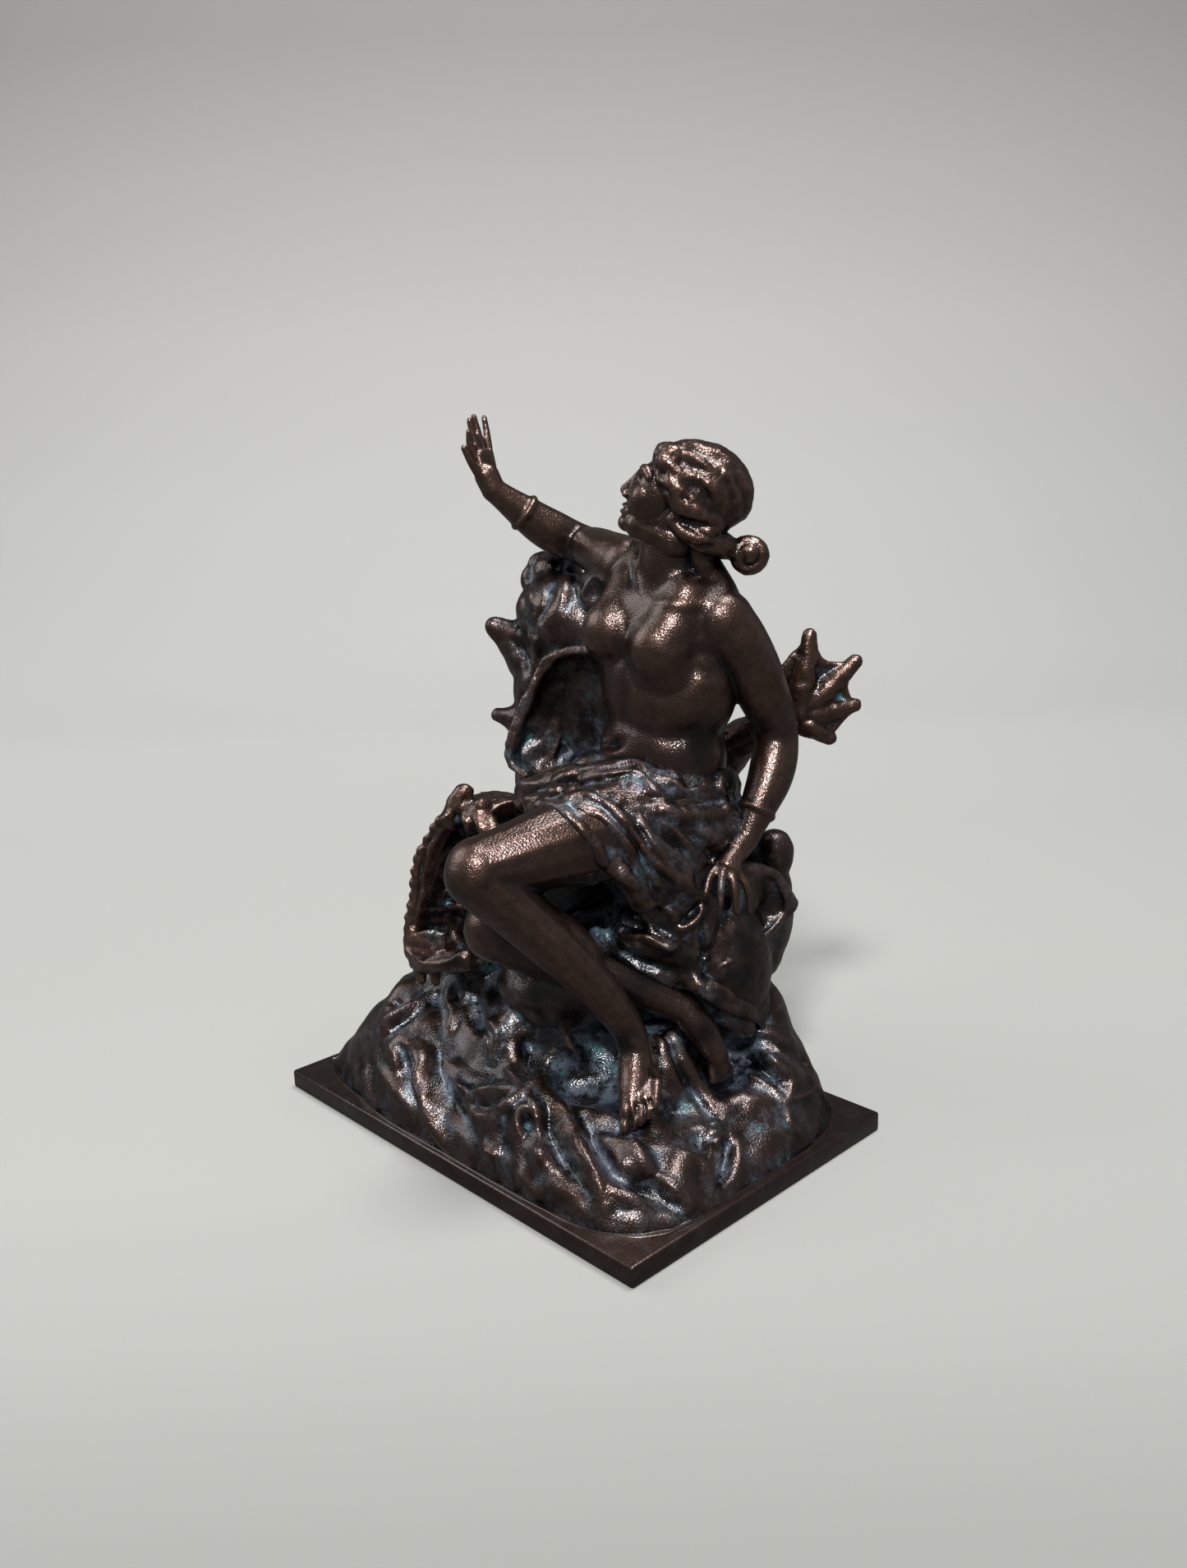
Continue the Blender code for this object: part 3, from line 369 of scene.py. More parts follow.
# A starfish and two shells on the rock, and a looped worm above them
SHELL_LINES = (
    (((640, 1328), (618, 1330), (596, 1330), (574, 1334)), 2.9, 1.7),
    (((640, 1326), (656, 1318), (670, 1310), (680, 1306)), 2.6, 1.4),
    (((636, 1332), (622, 1344), (608, 1354), (598, 1366)), 2.6, 1.5),
    (((644, 1336), (652, 1350), (660, 1362)), 2.6, 1.5),
    (((636, 1322), (628, 1310), (618, 1302)), 2.1, 1.3),
    (((632, 1378), (630, 1362), (638, 1350), (650, 1352), (656, 1368), (660, 1384)), 2.3, 1.3),
    (((642, 1376), (643, 1362)), -1.8, 1.1),
    (((654, 1394), (660, 1406), (666, 1414)), 3.1, 2.6),
    (((856, 1376), (870, 1384), (886, 1382)), 2.6, 1.8),
    (((870, 1388), (880, 1400), (884, 1414)), 2.3, 1.5),
    (((858, 1392), (864, 1404), (862, 1416)), 2.1, 1.4),
    (((864, 1370), (878, 1366)), 1.8, 1.3),
    (((588, 1244), (600, 1246), (607, 1256), (605, 1272), (600, 1294)), 2.1, 1.2),
    (((588, 1252), (595, 1266), (597, 1286)), 1.7, 1.0),
)
CRAG_LINES = (
    (((668, 670), (656, 700), (649, 736)), 1.2, 1.5),
    (((656, 673), (644, 703), (639, 733)), -1.0, 1.3),
    (((679, 676), (673, 706), (663, 736), (649, 766)), -1.4, 1.6),
    (((699, 700), (686, 720), (679, 749)), 1.4, 2.2),
    (((719, 706), (712, 726), (726, 739)), 1.2, 1.8),
    (((696, 680), (693, 700)), -1.6, 1.8),
    (((649, 753), (666, 773), (673, 783)), 1.0, 1.3),
    (((620, 739), (636, 753), (649, 766)), -1.0, 1.6),
    (((623, 779), (639, 799), (646, 826)), -1.4, 1.8),
    (((653, 783), (649, 812), (636, 839)), 1.0, 1.5),
    (((606, 796), (620, 819), (623, 846)), 1.0, 1.5),
)


def place(mm):
    """A point given in millimetres, as Blender's metres."""
    return Vector(mm) * MM


def turned(degrees):
    """A rotation from three Euler angles in degrees."""
    return Euler([math.radians(angle) for angle in degrees]).to_matrix().to_4x4()


def rounded(knots, steps=5, closed=False):
    """Points on a smooth curve through the knots."""
    knots = list(knots)
    count = len(knots)
    points = []
    for i in range(count if closed else count - 1):
        if closed:
            a, b, c, d = (knots[(i + k) % count] for k in (-1, 0, 1, 2))
        else:
            b, c = knots[i], knots[i + 1]
            a = knots[i - 1] if i else b * 2 - c
            d = knots[i + 2] if i + 2 < count else c * 2 - b
        for step in range(steps):
            t = step / steps
            points.append(
                (b * 2 + (c - a) * t + (a * 2 - b * 5 + c * 4 - d) * t**2
                 + (b * 3 - a - c * 3 + d) * t**3) / 2
            )
    if not closed:
        points.append(knots[-1])
    return points


BALL = bmesh.new()
bmesh.ops.create_uvsphere(BALL, u_segments=36, v_segments=24, radius=1.0)
BALL_POINTS = [corner.co.copy() for corner in BALL.verts]
BALL_FACES = [[corner.index for corner in face.verts] for face in BALL.faces]


class Clay:
    """One heap of clay: lumps, strands and leaves that overlap, to be fused by a voxel remesh."""

    def __init__(self, name, frame=None):
        self.name = name
        self.frame = frame or Matrix.Identity(4)
        self.points = []
        self.faces = []
        self.curve = bpy.data.curves.new(name + "_strands", "CURVE")
        self.curve.dimensions = "3D"
        self.curve.bevel_depth = 1.0
        self.curve.bevel_resolution = 5
        self.curve.resolution_u = 8
        self.curve.use_fill_caps = True

    def add(self, points, faces):
        """A closed skin of its own points and faces."""
        first = len(self.points)
        self.points += points
        self.faces += [[first + corner for corner in face] for face in faces]

    def lump(self, centre, half, turn=(0, 0, 0)):
        """An ellipsoid of the given half sizes."""
        if not hasattr(half, "__len__"):
            half = (half, half, half)
        size = Matrix.Diagonal((*place(half), 1.0))
        matrix = self.frame @ Matrix.Translation(place(centre)) @ turned(turn) @ size
        self.add([matrix @ point for point in BALL_POINTS], BALL_FACES)

    def strand(self, *knots):
        """A round strand through knots of (x, y, z, radius), with round ends, one if it is a loop."""
        spline = self.curve.splines.new("BEZIER")
        spline.bezier_points.add(len(knots) - 1)
        spline.radius_interpolation = "CARDINAL"
        for point, (x, y, z, radius) in zip(spline.bezier_points, knots):
            point.co = self.frame @ place((x, y, z))
            point.handle_left_type = "AUTO"
            point.handle_right_type = "AUTO"
            point.radius = radius * MM
        for x, y, z, radius in dict.fromkeys((knots[0], knots[-1])):
            self.lump((x, y, z), radius)

    def ring(self, centre, along, radius, thickness):
        """A round bangle about an axis."""
        across = Vector(along).orthogonal().normalized() * radius
        step = Matrix.Rotation(math.tau / 12, 3, Vector(along))
        knots = []
        for _ in range(13):
            knots.append((*(Vector(centre) + across), thickness))
            across = step @ across
        self.strand(*knots)

    def leaf(self, rows, thickness):
        """A closed leaf of even thickness through rows of knots, all rows equally long."""
        knots = [[self.frame @ place(knot) for knot in row] for row in rows]
        knots = list(zip(*[rounded(row) for row in knots]))
        knots = [rounded(column) for column in knots]
        rows, columns = len(knots), len(knots[0])
        front, back = [], []
        for i, line in enumerate(knots):
            for j, knot in enumerate(line):
                along = knots[min(i + 1, rows - 1)][j] - knots[max(i - 1, 0)][j]
                across = line[min(j + 1, columns - 1)] - line[max(j - 1, 0)]
                away = along.cross(across).normalized() * (thickness / 2 * MM)
                front.append(knot + away)
                back.append(knot - away)
        size = rows * columns
        faces = []
        for i in range(rows - 1):
            for j in range(columns - 1):
                corner = i * columns + j
                face = [corner, corner + columns, corner + columns + 1, corner + 1]
                faces += [face, [size + c for c in reversed(face)]]
        rim = [i * columns for i in range(rows)] + [(rows - 1) * columns + j for j in range(1, columns)]
        rim += [i * columns + columns - 1 for i in range(rows - 2, -1, -1)]
        rim += list(range(columns - 2, 0, -1))
        for a, b in zip(rim, rim[1:] + rim[:1]):
            faces.append([b, a, size + a, size + b])
        self.add(front + back, faces)

    def heap(self):
        """The lumps, leaves and strands as one mesh datablock, still overlapping."""
        data = bpy.data.meshes.new(self.name)
        data.from_pydata(self.points, [], self.faces)
        whole = bmesh.new()
        whole.from_mesh(data)
        if self.curve.splines:
            guide = bpy.data.objects.new(self.name + "_guide", self.curve)
            bpy.context.scene.collection.objects.link(guide)
            bpy.context.view_layer.update()
            ready = guide.evaluated_get(bpy.context.evaluated_depsgraph_get())
            strands = bmesh.new()
            strands.from_mesh(bpy.data.meshes.new_from_object(ready))
            bmesh.ops.remove_doubles(strands, verts=strands.verts, dist=0.00001)
            strands.to_mesh(data)
            strands.free()
            whole.from_mesh(data)
            bpy.data.objects.remove(guide)
        bmesh.ops.recalc_face_normals(whole, faces=whole.faces)
        whole.to_mesh(data)
        whole.free()
        return data


def shaped(name, mesh, modifiers):
    """The mesh as the given modifiers leave it: each is its kind and its settings."""
    form = bpy.data.objects.new(name, mesh)
    bpy.context.scene.collection.objects.link(form)
    for kind, settings in modifiers:
        modifier = form.modifiers.new(kind.lower(), kind)
        for setting, value in settings.items():
            setattr(modifier, setting, value)
    bpy.context.view_layer.update()
    ready = form.evaluated_get(bpy.context.evaluated_depsgraph_get())
    skin = bpy.data.meshes.new_from_object(ready)
    bpy.data.objects.remove(form)
    return skin


def fused(clay, voxel, smoothing, bumps=()):
    """The heap as one skin: remeshed, smoothed and, for a rough form, displaced by clouds of noise."""
    modifiers = [
        ("REMESH", {"mode": "VOXEL", "voxel_size": voxel * MM}),
        ("SMOOTH", {"factor": 0.5, "iterations": smoothing}),
    ]
    for size, height in bumps:
        clouds = bpy.data.textures.new(clay.name + "_bumps", "CLOUDS")
        clouds.noise_scale = size * MM
        modifiers.append(("DISPLACE", {"texture": clouds, "strength": height * MM}))
    return shaped(clay.name, clay.heap(), modifiers)


# How far a stroke is felt to its sides, in its widths
STROKE_REACH = 2.6


def worked(skin, strokes):
    """Soft ridges along lines on a form, or furrows where the height is negative.

    A line's knots are places in space, or, with two numbers, places where the camera sees the form.
    """
    body = bmesh.new()
    body.from_mesh(skin)
    tree = BVHTree.FromBMesh(body)
    body.free()
    sight = camera_turn.to_3x3()
    spots = np.empty(len(skin.vertices) * 3, dtype=np.float32)
    aways = np.empty_like(spots)
    skin.vertices.foreach_get("co", spots)
    skin.vertices.foreach_get("normal", aways)
    spots = spots.reshape(-1, 3) / MM
    aways = aways.reshape(-1, 3)
    for knots, height, width in strokes:
        points = []
        for knot in knots:
            if len(knot) == 3:
                points.append(place(knot))
                continue
            ray = Vector((knot[0] - FRAME_SIZE[0] / 2, FRAME_SIZE[1] / 2 - knot[1], -FOCAL_PIXELS))
            hit = tree.ray_cast(CAMERA_PLACE, sight @ ray.normalized())[0]
            if hit:
                points.append(hit)
        if len(points) < 2:
            continue
        line = np.array([tuple(tree.find_nearest(point)[0] / MM) for point in rounded(points)])
        reach = STROKE_REACH * width
        near = np.all((spots > line.min(0) - reach) & (spots < line.max(0) + reach), axis=1)
        near = np.flatnonzero(near)
        here = spots[near]
        nearest = np.full(len(here), np.inf)
        along = np.zeros(len(here))
        for i, (start, end) in enumerate(zip(line, line[1:])):
            run = end - start
            share = np.clip((here - start) @ run / (run @ run + 1e-9), 0, 1)
            gap = np.linalg.norm(here - start - share[:, None] * run, axis=1)
            closer = gap < nearest
            nearest[closer] = gap[closer]
            along[closer] = (i + share[closer]) / (len(line) - 1)
        taper = np.sqrt(np.clip(np.sin(np.pi * (0.04 + 0.92 * along)), 0, 1))
        push = height * taper * np.exp(-((nearest / width) ** 2))
        spots[near] += aways[near] * push[:, None].astype(np.float32)
    skin.vertices.foreach_set("co", (spots * MM).ravel())
    skin.update()
    return skin


PIECES = []
MOST_TRIANGLES = 190000


def cast(name, skin, material):
    """The finished form as a piece of the sculpture, with few enough triangles."""
    count = sum(len(face.vertices) - 2 for face in skin.polygons)
    if count > MOST_TRIANGLES:
        skin = shaped(name, skin, [("DECIMATE", {"ratio": MOST_TRIANGLES / count})])
    skin.name = name
    skin.shade_smooth()
    skin.materials.clear()
    skin.materials.append(material)
    piece = bpy.data.objects.new(name, skin)
    bpy.context.scene.collection.objects.link(piece)
    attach(piece, "root")
    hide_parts("sculpture")
    PIECES.append(piece)


clay = Clay("rock")
foot = [place((x * PLATE_LENGTH / 2, y * PLATE_WIDTH / 2, 0)) for x, y in ROCK_FOOT]
foot = rounded(foot, 6, closed=True)
points = [Vector((*knot.xy, (CARVING_LEVEL - ROCK_ROOT) * MM)) for knot in foot]
for ring in range(MOUND_RINGS):
    part = 1 - ring / MOUND_RINGS
    rise = (1 - part**FOOT_STEEPNESS) ** FOOT_SWELL
    for knot in foot:
        spot = knot * part
        weights = total = 0.0
        for x, y, z in ROCK_HEIGHTS:
            weight = ((spot.x / MM - x) ** 2 + (spot.y / MM - y) ** 2 + HEIGHT_BLEND) ** -2
            weights += weight
            total += weight * z
        spot.z = (CARVING_LEVEL + (total / weights - CARVING_LEVEL) * rise) * MM
        points.append(spot)
round_by = len(foot)
top = MOUND_RINGS * round_by
faces = [list(range(round_by)), list(range(top, top + round_by))[::-1]]
for ring in range(MOUND_RINGS):
    for i in range(round_by):
        a, b = ring * round_by + i, ring * round_by + (i - 1) % round_by
        faces.append([a, b, b + round_by, a + round_by])
clay.add(points, faces)
r = CRAG_RADIUS
clay.lump((22, 24, 48), (30, 21, 30))
clay.lump((6, 0, 44), (22, 24, 18))
clay.lump((-24, 28, 52), (26, 17, 30))
clay.strand(
    (-33, 33, 40, r + 4), (-33, 33, 70, r + 1), (-34, 33, 95, r), (-33, 33, 118, r),
    (-34, 34, 138, r - 2), (-38, 35, 150, r - 7),
)
clay.strand((-42, 32, 150, 6), (-43, 34, 155, 4))
clay.strand((-40, 27, 128, 9), (-46, 23, 134, 6), (-50, 19.6, 137, 3))
clay.strand((-38, 27, 106, 9), (-44, 22, 108, 6), (-49, 18.6, 109.5, 2.8))
clay.strand((-34, 30, 142, 12), (-22, 27, 140, 11), (-12, 29, 136, 9))
clay.lump((-20, 24, 145), (6, 5, 6))
clay.lump((-29, 22, 134), (6, 6, 5))
clay.lump((-12, 28, 147), (8, 6, 8))
clay.lump((-22, 29, 118), (13, 12, 26))
clay.lump((-12, 32, 104), (18, 12, 30))
clay.lump((41.5, 41.5, 77), (6, 6, 7))
clay.lump((36, 40, 60), (11, 11, 22))
stone = fused(clay, 0.7, 14, ((18, 3.6), (5, 0.6)))
stone = worked(stone, (
    (((-46, -27, 40), (-38, -36, 33), (-29, -42, 22), (-18, -46, 10)), 1.6, 4.4),
    (((-28, -31, 36), (-21, -38, 29), (-14, -42, 22), (-5, -46, 12)), 1.6, 4.4),
    (((27, -31, 27), (32, -37, 20), (37, -43, 12)), 1.8, 4.4),
    (((50, -29, 20), (55, -34, 15), (60, -38, 9)), 2, 4.4),
    (((56, -16, 17), (62, -22, 14), (67, -28, 9)), 2, 4.4),
    (((46, 10, 34), (55, 22, 26), (61, 34, 16)), 2, 4.4),
    (((20, -24, 24), (27, -20, 22), (34, -14, 24)), -3, 6),
    (((-58, 20, 30), (-65, 26, 20), (-70, 30, 9)), 2.4, 3.6),
    (((-50, 38, 32), (-56, 43, 20), (-60, 47, 9)), 2.6, 3.4),
    (((-34, 42, 36), (-36, 46, 24), (-40, 49, 9)), -2.4, 3.2),
    (((-16, 44, 38), (-16, 47, 24), (-20, 50, 9)), 2.6, 3.4),
    (((6, 44, 44), (8, 47, 28), (6, 50, 9)), -2.2, 3.4),
    (((30, 44, 44), (34, 47, 28), (34, 50, 9)), 2.6, 3.6),
    (((-62, -8, 26), (-68, -10, 16), (-72, -14, 8)), 2.4, 3.4),
    (((-62, 8, 32), (-68, 8, 20), (-72, 6, 8)), -2.2, 3.4),
))
stone = worked(stone, ROCK_LINES + CRAG_LINES + SHELL_LINES)
stone = shaped("rock", stone, [("SMOOTH", {"factor": 0.5, "iterations": 1})])
for corner in stone.vertices:
    corner.co.z = max(corner.co.z, (CARVING_LEVEL - ROCK_ROOT) * MM)
cast("rock", stone, patinated("washed rock paint", wash=1.0, rub=0.6, teal=0.3, film=0.26))


# The sea monster coils round the back of the rock. Its gaping head lies below her knees with a toothed
# lip, its body runs behind the seat, and its tail ends in a ribbed fin behind her left arm.
LIP_THICKNESS = 4.4
KNOB_SPACING = 3.4
KNOB_RADIUS = 1.5
FIN_THICKNESS = 2.4
MONSTER_LINES = (
    (((534, 1007), (519, 1028), (513, 1054), (508, 1081), (504, 1105), (502, 1126)), -1.2, 0.9),
    (((540, 1032), (532, 1049), (525, 1071), (517, 1092)), 1.0, 1.4),
    (((559, 1049), (551, 1071), (542, 1088)), 0.9, 1.6),
    (((508, 1108), (521, 1107), (534, 1107), (545, 1108)), 1.3, 1.0),
    (((513, 1123), (525, 1121), (538, 1120), (549, 1121)), 1.3, 1.0),
    (((514, 1135), (527, 1136), (542, 1135)), 1.0, 0.9),
    (((564, 996), (570, 1007), (568, 1019)), 1.3, 1.3),
    (((577, 994), (585, 1007), (589, 1019)), 1.2, 1.3),
    (((556, 990), (557, 1002), (561, 1013)), -1.2, 0.9),
    (((547, 987), (542, 996), (536, 998)), 1.0, 0.8),
    (((495, 1158), (513, 1171), (530, 1174), (547, 1171), (559, 1162)), 1.2, 1.1),
)
clay = Clay("sea_monster")
clay.strand(
    (-14, -14, 85, 3), (-20, -14, 89, 3.2), (-26, -15.6, 90, 3), (-30.6, -19.4, 84.6, 2.5),
    (-34.6, -23.4, 74.5, 2.4), (-35.8, -25, 64, 2.4), (-37.2, -26.8, 53.4, 2.7),
    (-33.4, -28.6, 47, 3), (-24.6, -29.6, 48, 3), (-13, -27, 51, 3),
)
clay.leaf((
    ((-16, -15, 87), (-25, -16, 89.6), (-31.4, -21, 81), (-35.4, -25, 68), (-37, -27, 54),
     (-29, -29, 47), (-16, -27, 50)),
    ((-16, -8, 90), (-27, -8, 91), (-35, -13.4, 82), (-38.4, -17, 68), (-39, -20, 51),
     (-30, -21, 44), (-16, -20, 46)),
    ((-14, 0, 90), (-25, -1, 90), (-33, -3, 81), (-36, -5, 68), (-36, -7, 52),
     (-30, -8, 44), (-14, -8, 46)),
), LIP_THICKNESS)
clay.lump((-30, 0, 69), (11, 10, 20))
clay.lump((-18, 2, 70), (14, 9, 21))
clay.strand((-27.5, -18, 87, 3.2), (-26.4, -16.4, 92, 3), (-25.2, -14.9, 95, 2.8))
clay.strand((-21.6, -15, 88, 3.4), (-19, -13.6, 92, 2.4))
clay.leaf((
    ((-28.8, -33, 57), (-25, -30, 57.6), (-21.4, -26.6, 57)),
    ((-28.4, -34, 51), (-25, -31.4, 50.4), (-21, -27.6, 50.4)),
), 3)
clay.strand((-32.4, -29, 46, 2.4), (-31, -29.6, 43, 1.8), (-30, -30, 41, 1.2))
clay.strand((-25.6, -29, 46, 2), (-24.8, -29, 43.4, 1.5), (-24.4, -29, 41.4, 1.1))
for rise in range(5):
    z = 58 + 4.2 * rise
    clay.strand((-35, -14, z, 1.3), (-28, -9, z + 1.6, 2), (-19, -8, z + 0.6, 2), (-12, -10, z, 1.6))
clay.strand(
    (-38, 4, 62, 15), (-52, 18, 46, 14), (-48, 36, 34, 12.5), (-22, 44, 34, 12), (4, 46, 46, 12),
    (12, 46, 70, 10.5), (12, 47, 90, 8.4), (19, 50, 103, 6.6), (30.5, 52.6, 110.5, 5.2),
    (40, 55, 116, 4.4),
)
root = (39, 55, 114)
tips = ((42.2, 56.6, 137), (50.8, 65.6, 129.2), (51, 65.6, 117), (46.2, 60.4, 107.8))
notches = ((45.2, 59.6, 130.6), (50, 64.2, 122.6), (49.4, 63.2, 112))
for tip in tips:
    middle = (Vector(root) + Vector(tip)) / 2 + Vector((0.6, -1, 0))
    clay.strand((*root, 4.2), (*middle, 3.5), (*tip, 2.1))
edge = [
    (35.6, 50.8, 128.6), (38.4, 53.4, 133.2), tips[0], notches[0], tips[1], notches[1], tips[2],
    notches[2], tips[3],
]
clay.leaf([
    [Vector(root) + (Vector(knot) - Vector(root)) * share for knot in edge]
    for share in (0.1, 0.55, 0.96)
], FIN_THICKNESS)


def beaded(name, knots, spacing, size, material):
    """Small knobs set at even distances along a path, by Geometry Nodes."""
    path = bpy.data.curves.new(name, "CURVE")
    path.dimensions = "3D"
    knots = rounded([place(knot) for knot in knots])
    spline = path.splines.new("POLY")
    spline.points.add(len(knots) - 1)
    for point, knot in zip(spline.points, knots):
        point.co = (*knot, 1)
    tree = bpy.data.node_groups.new(name, "GeometryNodeTree")
    tree.interface.new_socket("Path", in_out="INPUT", socket_type="NodeSocketGeometry")
    for label in ("Spacing", "Size"):
        tree.interface.new_socket(label, in_out="INPUT", socket_type="NodeSocketFloat")
    tree.interface.new_socket("Knobs", in_out="OUTPUT", socket_type="NodeSocketGeometry")
    given = node(tree, "NodeGroupInput").outputs
    even = node(tree, "GeometryNodeResampleCurve", {
        "Curve": given["Path"], "Length": given["Spacing"],
    }, mode="LENGTH")
    knob = node(tree, "GeometryNodeMeshIcoSphere", {"Radius": given["Size"], "Subdivisions": 3})
    uneven = node(tree, "FunctionNodeRandomValue", {
        "Min": (0.8, 0.8, 0.7), "Max": (1.2, 1.2, 1.5), "Seed": 3,
    }, data_type="FLOAT_VECTOR")
    set_out = node(tree, "GeometryNodeInstanceOnPoints", {
        "Points": even.outputs[0], "Instance": knob.outputs[0], "Scale": uneven.outputs[0],
    })
    real = node(tree, "GeometryNodeRealizeInstances", {"Geometry": set_out.outputs[0]})
    painted = node(tree, "GeometryNodeSetMaterial", {"Geometry": real.outputs[0], "Material": material})
    node(tree, "NodeGroupOutput", {"Knobs": painted.outputs[0]})
    guide = bpy.data.objects.new(name, path)
    bpy.context.scene.collection.objects.link(guide)
    modifier = guide.modifiers.new("knobs", "NODES")
    modifier.node_group = tree
    values = {"Spacing": spacing * MM, "Size": size * MM}
    for socket in tree.interface.items_tree:
        if socket.name in values:
            modifier[socket.identifier] = values[socket.name]
    bpy.context.view_layer.update()
    ready = guide.evaluated_get(bpy.context.evaluated_depsgraph_get())
    skin = bpy.data.meshes.new_from_object(ready)
    guide.modifiers.remove(modifier)
    bpy.data.objects.remove(guide)
    return skin


hide_paint = patinated("washed hide paint", wash=1.1, rub=0.8, teal=1.0)
knobs = beaded("lip_knobs", (
    (-26, -16.6, 91.4), (-31.2, -21, 85.2), (-35.8, -24.8, 75), (-37.2, -26.4, 64), (-38.6, -27.8, 53.4),
    (-35, -29.8, 46), (-27, -30.8, 46),
), KNOB_SPACING, KNOB_RADIUS, hide_paint)
clay.add([knob.co.copy() for knob in knobs.vertices], [list(face.vertices) for face in knobs.polygons])
hide = worked(fused(clay, 0.55, 3, ((5, 1.0), (2.2, 0.5))), MONSTER_LINES)
cast("sea_monster", hide, hide_paint)


# The figure: torso and arms in one skin. Her right arm is raised against the crag and her left arm is
# bent behind her, with the hand hanging open beside the hip.
NECK_RADIUS = 8.8
SHOULDER_RADIUS = 9.0
ELBOW_RADIUS = 6.1
WRIST_RADIUS = 3.6
FINGER_RADIUS = 1.15
BREAST_RADIUS = 9.4
BODY_LINES = (
    (((769, 816), (775, 834), (792, 843), (812, 846), (829, 839), (840, 826), (847, 811)), -0.72, 1.9),
    (((756, 779), (757, 799), (766, 816)), -0.44, 1.8),
    (((716, 793), (729, 802), (746, 804), (757, 799)), -0.5, 1.8),
    (((726, 857), (746, 872), (772, 885), (799, 896), (822, 898), (842, 892), (858, 877)), -0.72, 2.0),
    (((739, 852), (772, 869), (805, 877), (838, 869)), 0.44, 3.0),
    (((731, 905), (742, 907), (754, 905)), -2.4, 1.4),
    (((734, 917), (746, 919), (759, 915)), 0.33, 1.3),
    (((848, 892), (855, 912), (859, 938)), -0.72, 1.8),
    (((772, 660), (775, 686), (781, 715), (789, 727)), 0.66, 1.7),
    (((766, 680), (768, 703), (772, 716)), -0.66, 1.5),
    (((789, 731), (815, 735), (845, 737), (868, 731)), 0.5, 1.5),
    (((792, 743), (819, 749), (845, 749)), -0.33, 2.2),
    (((739, 647), (736, 673), (739, 703)), 0.33, 1.8),
    (((842, 791), (847, 812), (867, 819), (883, 806)), -0.66, 1.6),
    (((825, 796), (848, 783), (872, 786), (885, 809)), 0.5, 1.8),
)
clay = Clay("torso")
clay.lump((19, 19, 92), (25, 19, 14))
clay.lump((20, 19.5, 107), (19.4, 15.6, 17))
clay.lump((21.6, 20.4, 127), (21.4, 15.4, 20), (0, 7, 0))
clay.lump((21, 21.6, 143), (20.6, 13.4, 13), (0, 14, 0))
clay.lump((21.5, 12.5, 112), (13, 7.5, 15))
r = BREAST_RADIUS
clay.lump((27.2, 11, 136.6), (r, r - 1, r), (18, 0, 0))
clay.strand((31, 18, 149.5, 7), (29.6, 14.4, 143, 8.2), (28.4, 12, 137.5, r - 1))
clay.lump((10.8, 10.4, 140.2), (r - 0.4, r - 1.2, r - 0.2), (18, 0, 0))
clay.strand((9.6, 19, 151.6, 6.6), (10.6, 15, 146, 7.6), (11, 11.6, 141, r - 1.6))
r = SHOULDER_RADIUS
clay.strand(
    (3, 25, 156.5, r - 1.4), (10, 24.5, 153.4, 9.4), (22, 23.6, 149.4, 10), (32, 23.6, 146.6, 9.4),
    (38.5, 23.4, 143.6, r - 0.6),
)
r = NECK_RADIUS
clay.strand((21.5, 22.5, 148, 10.6), (22.8, 20, 159, r - 0.4), (25, 20.5, 170, r - 0.6))
clay.strand((26, 25.6, 162, 5.4), (35, 25.6, 150.6, 5.6))
clay.strand((20, 26, 163, 5.6), (8, 26, 159, 5.6))
torso = fused(clay, 0.7, 56)
torso = worked(torso, (
    (((20.5, 2, 146), (20.5, 2, 136), (19.5, 1, 122), (18.8, 1, 112)), -0.8, 2.6),
    (((22, 36, 150), (21, 37, 135), (20, 37, 120), (19, 36, 104)), -1.6, 3.0),
    (((8, 36, 150), (5, 37, 140), (8, 38, 130)), 1.2, 3.0),
    (((34, 36, 147), (37, 36, 137), (34, 37, 127)), 1.2, 3.0),
))
torso = worked(torso, BODY_LINES)
r = ELBOW_RADIUS
clay = Clay("arms")
clay.strand(
    (3, 25, 156.6, 8.4), (-6, 27, 158.5, 7.6), (-15, 30.5, 160, 6.9), (-27, 35, 161.5, r),
    (-32.5, 28, 166, 6.3), (-36.5, 20.5, 172, 5.0), (-40, 13.5, 178, WRIST_RADIUS),
)
clay.strand(
    (37.8, 23.6, 143.6, 8.8), (41.6, 27, 137, 8.0), (44, 32.6, 125, 7.2), (44, 39, 112.5, r),
    (45.8, 35, 103, 6.3), (46.6, 28, 94, 5.0), (46.8, 22.5, 86.5, WRIST_RADIUS),
)
clay.lump((44, 41, 111), (4.4, 4.2, 4.6))
arms = fused(clay, 0.6, 10)
f = FINGER_RADIUS
clay = Clay("hands")
clay.strand((-40, 13.5, 178, 3.6), (-41.4, 12.4, 182, 3.7))
clay.leaf((
    ((-41.2, 15.6, 179.5), (-40.6, 13, 179), (-40.2, 10.6, 179.5)),
    ((-43, 16.4, 184.5), (-42.8, 12.8, 184.5), (-41.8, 9.4, 184.5)),
    ((-44.4, 16.6, 188.6), (-44.4, 12.8, 189.2), (-43, 9.6, 188)),
), 3.4)
clay.strand((-44, 16, 187.5, f), (-46, 17, 193, f), (-47.3, 17.2, 198.6, f * 0.8))
clay.strand((-44.2, 13.8, 188.5, f), (-46.2, 13.8, 194, f), (-47.2, 13.2, 199, f * 0.8))
clay.strand((-43.8, 11.6, 188.5, f), (-45.2, 11, 193.4, f), (-45.8, 10.4, 197.8, f * 0.8))
clay.strand((-43, 9.4, 187, f), (-43.6, 8.4, 191, f), (-43.4, 8, 194.6, f * 0.8))
